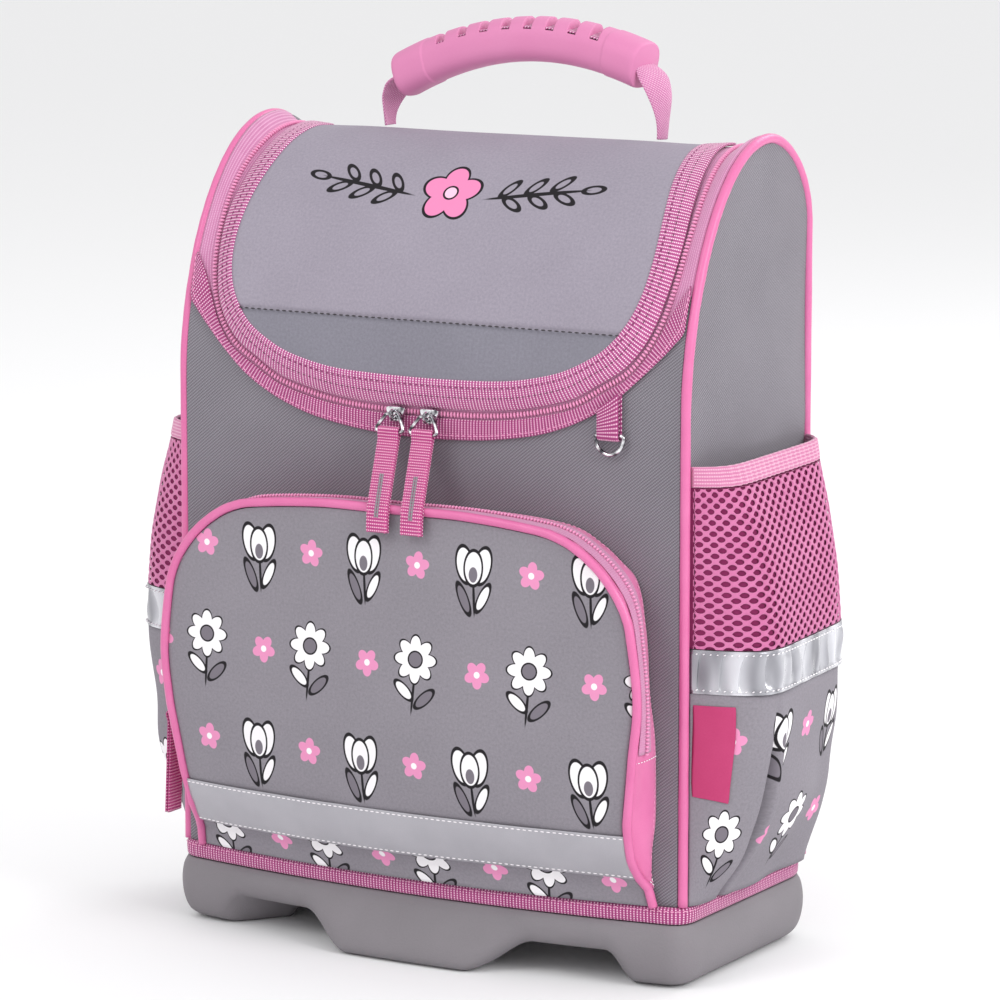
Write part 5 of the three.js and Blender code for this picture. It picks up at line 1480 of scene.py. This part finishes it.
def grip_place(u, v, h):
    x = (u - 0.5) * GRIP_LENGTH
    ahead = unit(grip_line(x + 0.1) - grip_line(x - 0.1))
    up = unit(np.stack([-ahead[:, 2], 0 * x, ahead[:, 0] + 0.6], -1))
    angle = 2 * math.pi * v
    ends = np.clip((0.5 - np.abs(u - 0.5)) * GRIP_LENGTH / 2.2, 0, 1)
    round_end = 1 - 0.07 * (1 - np.sqrt(1 - (1 - ends) ** 2))
    collar = 1 + 0.035 * smooth((np.abs(x) - COLLAR_FROM) / 1.2)
    across = squared(math.cos(angle), 0.78) * GRIP_WIDE * round_end * collar
    height = squared(math.sin(angle), 0.78) * GRIP_TALL * round_end * collar
    if math.sin(angle) > 0:
        # Eight slots, slanted, whose ends come down the front and back of the grip
        slanted = (x + 0.2 * across) / SLOT_PITCH
        slot = np.abs(slanted - np.round(slanted - 0.5) - 0.5)
        inside = smooth((0.21 - slot) / 0.04) * (np.abs(x) < SLOTS_END) * smooth((11.6 - abs(across)) / 0.8)
        height = mix(height, np.minimum(height, SLOT_FLOOR), inside)
    return grip_line(x) + np.stack([0 * x, across, 0 * x], -1) + up * height[:, None]


def grip_core_place(u, v, h):
    line = grip_line((u - 0.5) * 94)
    return line + np.stack([0 * u, np.full(len(u), (v - 0.5) * 21.5), 5.4 * (1 + 0 * u) + 1.2 * h], -1)


grip = sweep("grip_shell", fine(520), [(k / 72, 0) for k in range(72)], grip_place)
grip.data.materials.append(grip_rubber)
grip_core = sweep("grip_core", fine(60), RIBBON, grip_core_place)
grip_core.data.materials.append(grosgrain)
dress(join("hand_grip", [grip, grip_core]), "handle_grip")
HANDLE_FOOT = 74


def top_height(x, y, rise):
    s = np.linspace(to_bend, to_end, 900)
    line = on_wrap(np.full(900, x), s, rise)
    return line[int(np.argmin(np.abs(line[:, 1] - y))), 2]


def handle_webbing(side):
    end = grip_line(np.array([side * GRIP_LENGTH / 2]))[0]
    ahead = end - grip_line(np.array([side * (GRIP_LENGTH / 2 - 1)]))[0]
    ahead /= np.linalg.norm(ahead)
    top = top_height(HANDLE_FOOT, HANDLE_DEPTH, LID_PROUD_TOP + 1.4)
    foot = np.array([side * HANDLE_FOOT, HANDLE_DEPTH, top])
    fall = end[2] - foot[2]
    line = bezier(end - ahead * 4, end + ahead * fall * 0.27, foot + [side * 1.5, 0, fall * 0.45], foot, 60)
    run = unit(np.gradient(line, axis=0))
    normal = np.stack([-run[:, 2], 0 * run[:, 0], run[:, 0]], -1)
    width = mix(17, 8.5, smooth((fine(60) - 0.15) / 0.8))

    def place(u, v, h):
        cup = side * 1.6 * ((2 * v - 1) ** 2 - 0.4) * smooth(u * 2)
        twist = 0.4 * (v - 0.5) * width * smooth(u * 3) * smooth((1 - u) * 2)
        out = normal * (side * (h - 0.5) * 1.8 - cup)[:, None]
        return line + out + np.stack([twist, (v - 0.5) * width, 0 * width], -1)

    return sweep("handle_ribbon_" + NAMES[side], fine(60), RIBBON, place)


for side in (-1, 1):
    dress(handle_webbing(side), "handle_webbing_" + NAMES[side], handle_cloth)


# Zip sliders, rings and pulls
def rounded_block(name, sections, axis_point, turn=None):
    """A soft-edged solid through sections: height, half width and depth range, standing along z."""
    body = through(np.array(sections, float), fine(30))

    def place(u, v, h):
        angle = 2 * math.pi * v
        x = squared(math.cos(angle), 0.5) * body[:, 1]
        y = (body[:, 2] + body[:, 3]) / 2 + squared(math.sin(angle), 0.5) * (body[:, 3] - body[:, 2]) / 2
        points = np.stack([x, y, body[:, 0]], -1)
        return (points if turn is None else points @ turn.T) + axis_point

    return sweep(name, fine(30), [(k / 28, 0) for k in range(28)], place)


def closed_wire(name, corners, count, side):
    """A wire bent round through corners and back to the first."""
    loop = through(np.vstack([corners, corners[:1]]), fine(count))[:-1]
    return tube(name, loop, WIRE, side, 10, ring=True)


SLIDER_FORM = [
    (-3.6, 1.6, -0.4, 0.4), (-3.3, 3.0, -1.4, 1.3), (-1.6, 3.4, -1.5, 1.4), (0.2, 4.4, -1.5, 1.4),
    (2.2, 5.0, -1.4, 1.3), (3.2, 4.3, -1.3, 1.2), (3.6, 2.4, -0.4, 0.4),
]
WIRE = 0.9
# A pull ring's corners, across and down from the slider's eye
RING_FORM = [(-3.2, 0), (0, 0.3), (3.2, 0), (6.9, -7.2), (0, -7.8), (-6.9, -7.2)]
RING_LEAN = 0.35
# How a pull hangs: its fall and how far it has come to rest on the pocket
PULL_FALL = [(0, 0), (0.25, 0.35), (0.5, 0.7), (0.72, 0.98), (0.86, 1.05), (1, 1.07)]
PULL_WIDTH = 11.2


def main_pull(name, x):
    coil_s = on_line("coil", np.array([2 * x / PANEL_EDGE]))[1][0]
    face = -2.2 * SEAM - 1.9
    z = coil_s - 1
    block = rounded_block("slider " + name, SLIDER_FORM, np.array([x, face - 1.5, z]))
    eye = np.array([x, face - 3 - 1.5 - 0.3, z])
    angle = np.linspace(-0.5 * math.pi, 1.5 * math.pi, 40)[:-1]
    lug_line = eye + np.stack([0 * angle, 2.1 * np.cos(angle), 2.1 * np.sin(angle)], -1)
    lug = tube("lug " + name, lug_line, 0.62, SIDE_AXIS, 10, ring=True)
    for part in (block, lug):
        part.data.materials.append(chrome)
    dress(join("zip_runner_" + name, [block, lug]), "zip_slider_" + name)
    down = np.array([0, -math.sin(RING_LEAN), -math.cos(RING_LEAN)])
    corners = np.array([eye + [a, 0, 0] - down * b for a, b in RING_FORM])
    wire = closed_wire("pull_wire_" + name, corners, 90, np.cross(SIDE_AXIS, down))
    dress(wire, "pull_ring_" + name, chrome)
    foot = eye + down * 7.8
    first = foot + [0, -0.6, -WIRE - 3.2]
    end = POCKET_TOP - 10
    reach = -(POCKET_DEPTH + POCKET_CROWN + POCKET_PIPING + SEAM + 1.2)
    last = np.array([first[0] + 9, reach, end])
    way = np.array([mix(first, last, np.array([r, r, d])) for d, r in PULL_FALL])
    ribbon(name, foot, way, SIDE_AXIS, "zip_tab_" + name, "zip_pull_" + name)


def ribbon(name, wire, way, across, piece_name, node):
    """A folded ribbon that goes round a wire and hangs along a way, with a plain stitched bar on its face."""
    count = 40
    line = through(way, fine(count))
    run = unit(np.gradient(line, axis=0))
    out = unit(np.cross(across, run))
    half = 0.72
    up = -run[0]
    first_out = np.cross(across, run[0])
    turns = np.linspace(-0.12 * math.pi, 1.12 * math.pi, 16)
    bend_out = np.array([-math.cos(a) * first_out + math.sin(a) * up for a in turns])
    bend = wire + 1.72 * bend_out
    stops = np.vstack([line[::-1] - half * out[::-1], bend, line + half * out])
    outs = np.vstack([-out[::-1], bend_out, out])

    def place(u, v, h):
        k = np.round(u * (len(stops) - 1)).astype(int)
        return stops[k] + (v - 0.5) * PULL_WIDTH * across + (h - 0.5) * 1.05 * outs[k]

    tab = sweep("tab " + name, np.arange(len(stops)) / (len(stops) - 1), RIBBON, place)
    tab.data.materials.append(pull_ribbon)
    parts = [tab]
    front = out if out[count // 2] @ -DEPTH_AXIS > 0 or abs(across[1]) > 0.5 else -out
    for offset in (-0.6, 0.6):
        row = line[12:29] + front[12:29] * (half + 0.7) + across * offset
        parts.append(beads("bar " + name, [(row, front[12:29])], 1.6, (1.9, 1.1, 0.7), grey_thread))
    for offset in (-PULL_WIDTH / 2 + 1.2, PULL_WIDTH / 2 - 1.2):
        row = line[6:-1] + front[6:-1] * (half + 0.5) + across * offset
        parts.append(beads("edge " + name, [(row, front[6:-1])], 2.6, (1.9, 0.45, 0.4), rose_thread))
    dress(join(piece_name, parts), node)


main_pull("left", -13.5)
main_pull("right", 4.5)
spot = on_gusset(np.array([zip_from]), 0.6, 4 * SEAM + 1.9)[0]
turn_left = np.array([[0, 1.0, 0], [-1.0, 0, 0], [0, 0, 1.0]]).T
pocket_form = [(a * 1.35, b * 0.7, c, d) for a, b, c, d in SLIDER_FORM]
runner = rounded_block("pocket_runner", pocket_form, spot + [-1.5, 0, 0], turn_left)
dress(runner, "pocket_slider", chrome)
hook = np.array([spot[0] - 2.5, spot[1], spot[2] - 8])
hang = np.array([[hook[0] - 2 * k, hook[1], hook[2] - 3.2 - 44 * k] for k in fine(4)])
ribbon("pocket", hook, hang, DEPTH_AXIS, "pocket_tab", "pocket_pull")

# The small strap on the front and its ring, across the ring's straight bar
LOOP_AT = 97.0
LOOP_WIDTH = 11
bar_point = np.array([LOOP_AT, -SEAM - 1 - SEAM - WIRE, 217 + 1 + SEAM + WIRE])
outer_points = on_line("outer", np.linspace(0, REACH, 400))
D_FORM = [(-7, 0), (0, 0), (7, 0), (5.6, -5.6), (0, -8.5), (-5.6, -5.6)]


def loop_place(u, v, h):
    """Down the back of the bar, round it and up its front, in thirds."""
    x = LOOP_AT + (v - 0.5) * LOOP_WIDTH
    top = np.interp(x, outer_points[0], outer_points[1]) + 1.5
    k = u * 3
    radius = WIRE + SEAM + 0.5 + (h - 0.5) * 1.1
    angle = np.pi * np.clip(k - 1, 0, 1)
    y = bar_point[1] + np.cos(angle) * radius
    down, back_up = mix(top, bar_point[2], np.clip(k, 0, 1)), mix(bar_point[2], top, np.clip(k - 2, 0, 1))
    z = np.where(k < 1, down, np.where(k > 2, back_up, bar_point[2] - np.sin(angle) * radius))
    return np.stack([np.full(len(u), x), y, z], -1)


dress(sweep("front_loop", fine(61), RIBBON, loop_place), "ring_strap", dark_grosgrain)
d_corners = np.array([bar_point + [a, 0, b] for a, b in D_FORM])
dress(closed_wire("front_ring", d_corners, 80, DEPTH_AXIS), "d_ring", chrome)


# Stitches on the lid's seam, the bindings and the lower edge
def seam_place(u, rise):
    edge = on_line("lid", np.linspace(1, 12, 300))
    x = (2 * u - 1) * (np.interp(LID_SEAM, edge[1], edge[0]) - 1.5)
    s = np.full(len(u), LID_SEAM)
    return on_wrap(x, s, lid_rise(s) - 0.15 + rise)


def binding_stitch(share):
    def place(u, rise):
        x, s, height = beside_lid(u, SEAM, share)
        return on_wrap(x, s, height + 0.25 + rise)
    return place


def opening_stitch(u, rise):
    return on_wrap(*beside_opening(u, 0.78), 2 * SEAM + 1.4 + rise)


def trim_stitch(u, rise):
    return on_plan(u, 2.0 + rise, 5.4)


lid_stitches = beads("lid_stitches", [path_on(seam_place, fine(300))], 3.4, (2.5, 0.8, 0.7), dark_thread)
dress(lid_stitches, "lid", replaces=False)
tape_rows = [path_on(binding_stitch(share), fine(500)) for share in (0.14, 0.52)]
tape_stitches = beads("lid_tape_stitches", tape_rows, STITCH_PITCH, (1.7, 0.6, 0.45), plum_thread)
dress(tape_stitches, "lid_binding", replaces=False)
opening_row = [path_on(opening_stitch, fine(400))]
opening_stitches = beads("opening_tape_stitches", opening_row, STITCH_PITCH, STITCH, pink_thread)
dress(opening_stitches, "opening_binding", replaces=False)
trim_row = [path_on(trim_stitch, plan_share)]
trim_stitches = beads("lower_tape_stitches", trim_row, STITCH_PITCH, STITCH, pink_thread)
dress(trim_stitches, "base_trim", replaces=False)

# Back: padding, shoulder straps, adjusters and lower webbing
PAD_WIDTH, PAD_HEIGHT, PAD_LOW = 150, 235, 28
PAD_THICK = 9.3
BACK_FACE = BODY_DEPTH + SEAM


def pad_place(u, v, h):
    x = (u - 0.5) * PAD_WIDTH * (1 - 0.1 * np.abs(2 * v - 1) ** 6)
    rim = np.minimum(1 - np.abs(2 * u - 1), (1 - abs(2 * v - 1)) * 1.5)
    crown = 0.45 + 0.55 * smooth(rim * 6)
    # One upright channel and three across
    upright = 0.45 * np.exp(-((x / 8) ** 2))
    level = 0.35 * math.exp(-(((v * 3) % 1 - 0.5) / 0.08) ** 2) * (0.1 < v < 0.9)
    thick = PAD_THICK * crown * (1 - np.minimum(upright + level, 0.5) * smooth(rim * 5))
    return np.stack([x, BACK_FACE + h * thick, np.full(len(u), PAD_LOW + v * PAD_HEIGHT)], -1)


def pad_uv(u, v, h):
    return (u - 0.5) * PAD_WIDTH, np.full(len(u), v * PAD_HEIGHT)


pad = sweep("back_cushion", fine(90), sheet_profile(110), pad_place, uv=pad_uv)
dress(pad, "back_pad", air_mesh)
# How far down a shoulder strap is, and how far out from the back, in shares
SHOULDER_FALL = np.array([
    (0, 0), (0.05, 0.04), (0.14, 0.55), (0.28, 0.88), (0.5, 1), (0.76, 0.76), (0.92, 0.46), (1, 0.4),
])
STRAP_TOP, STRAP_LOW = 300, 118
STRAP_THICK = 8
WEBBING_WIDTH = 24
BAR_DROP = 8.6


def shoulder_line(side, t):
    rows = np.stack([
        side * mix(46, 90, smooth(SHOULDER_FALL[:, 0]) * 0.75),
        BACK_FACE + STRAP_THICK / 2 + SHOULDER_FALL[:, 1] * 34,
        mix(STRAP_TOP, STRAP_LOW, SHOULDER_FALL[:, 0]),
    ], -1)
    return through(rows, t)


def shoulder_strap(side):
    count = 120
    line = shoulder_line(side, fine(count))
    run = unit(np.gradient(line, axis=0))
    across = unit(np.cross(np.cross(SIDE_AXIS, run), run))
    across *= np.sign(across[:, :1])
    out = np.cross(run, across)
    out = unit(out * np.sign(out[:, 1:2]))
    width = 56 - 10 * smooth(fine(count))

    def place(u, v, h):
        crown = 0.55 + 0.45 * math.sqrt(max(1 - abs(2 * v - 1) ** 4, 0))
        seam = 0.16 * math.exp(-((abs(v - 0.5) - 0.38) / 0.03) ** 2)
        wall = STRAP_THICK * (crown - seam)
        return line + across * ((v - 0.5) * width)[:, None] + out * ((h - 0.5) * wall)

    return sweep("shoulder_pad_" + NAMES[side], fine(count), ribbon_profile(10, 0.6), place)


def lower_webbing(side):
    """The webbing from the strap's end to the bag's lower corner, with the end and the buckle's height."""
    end = shoulder_line(side, np.array([1.0]))[0]
    middle = end[2] - 4.4 * SEAM - 10
    start = np.array([end[0], end[1], middle - 10 - SEAM])
    foot = np.array([side * 90, BACK_FACE + 1, 14])
    fall = start[2] - foot[2]
    line = bezier(start, start - [0, 0, 0.3 * fall], foot + [0, 0, 0.4 * fall], foot, 70)
    run = np.gradient(line, axis=0)
    normal = unit(np.stack([0 * run[:, 0], -run[:, 2], run[:, 1]], -1))

    def place(u, v, h):
        return line + (v - 0.5) * WEBBING_WIDTH * SIDE_AXIS + normal * (h - 0.5) * 2

    return sweep("lower_ribbon_" + NAMES[side], fine(70), RIBBON, place), end, middle


def adjuster(side, end, middle):
    """A ladder buckle: a frame of two side bars with three crossbars."""
    place = np.array([end[0], end[1], middle])
    bars = []
    for offset, radius in ((-BAR_DROP, 1.9), (0, 1.71), (BAR_DROP, 1.9)):
        line = np.array([place + [k, 0, offset] for k in np.linspace(-14.5, 14.5, 24)])
        bars.append(tube("bar", line, radius, DEPTH_AXIS, 16))
    for edge in (-14.2, 14.2):
        line = np.array([place + [edge, 0, k] for k in np.linspace(-9.6, 9.6, 24)])
        bars.append(tube("bar", line, 2.1, DEPTH_AXIS, 16))
    for part in bars:
        part.data.materials.append(adjuster_plastic)
    return join("ladder_buckle_" + NAMES[side], bars)


for side in (-1, 1):
    strap = shoulder_strap(side)
    dress(strap, "shoulder_strap_" + NAMES[side], air_mesh)
    webbing, end, middle = lower_webbing(side)
    dress(webbing, "strap_webbing_" + NAMES[side], dark_grosgrain)
    dress(adjuster(side, end, middle), "strap_adjuster_" + NAMES[side])

# Floor, light and camera. The floor is wide enough that its edge is out of sight
FLOOR_REACH = 25
SKY_LIGHT = 0.92
LAMP_SIZE = 1.2
floor_corners = [(x * FLOOR_REACH, y * FLOOR_REACH, 0) for x, y in ((-1, -1), (1, -1), (1, 1), (-1, 1))]
floor_mesh = bpy.data.meshes.new("floor")
floor_mesh.from_pydata(floor_corners, [], [(0, 1, 2, 3)])
floor_mesh.materials.append(finish_of("floor, matt white", "f4f4f5", 0.9))
linked("floor", floor_mesh)

world = bpy.context.scene.world or bpy.data.worlds.new("studio")
bpy.context.scene.world = world
world.use_nodes = True
world.node_tree.nodes["Background"].inputs[0].default_value = (1.0, 1.0, 1.0, 1.0)
world.node_tree.nodes["Background"].inputs[1].default_value = SKY_LIGHT
bpy.context.scene.view_settings.view_transform = "Standard"


def aimed(holder, place, target):
    holder.location = place
    holder.rotation_euler = (Vector(target) - Vector(place)).to_track_quat("-Z", "Y").to_euler()
    return holder


def lamp(name, place, target, power):
    light = bpy.data.lights.new(name, "AREA")
    light.shape = "DISK"
    light.size = LAMP_SIZE
    light.energy = power
    aimed(linked(name, light), place, target)


lamp("key", (-0.6, -1.9, 1.8), (0, 0, 0.2), 12)
lamp("side", (2.1, -0.5, 1.3), (0, 0, 0.2), 24)
lamp("rim", (0.6, 1.8, 1.6), (0, 0, 0.25), 14)

# The photo's own view, fitted to points on the bag
camera = bpy.data.cameras.new("camera")
camera.lens = 173.4
camera.sensor_width = 36
eye_point = place_mm([1127.80, -1858.24, 544.87]).tolist()
aim_point = place_mm([39.06, 0, 185.17]).tolist()
bpy.context.scene.camera = aimed(linked("camera", camera), eye_point, aim_point)
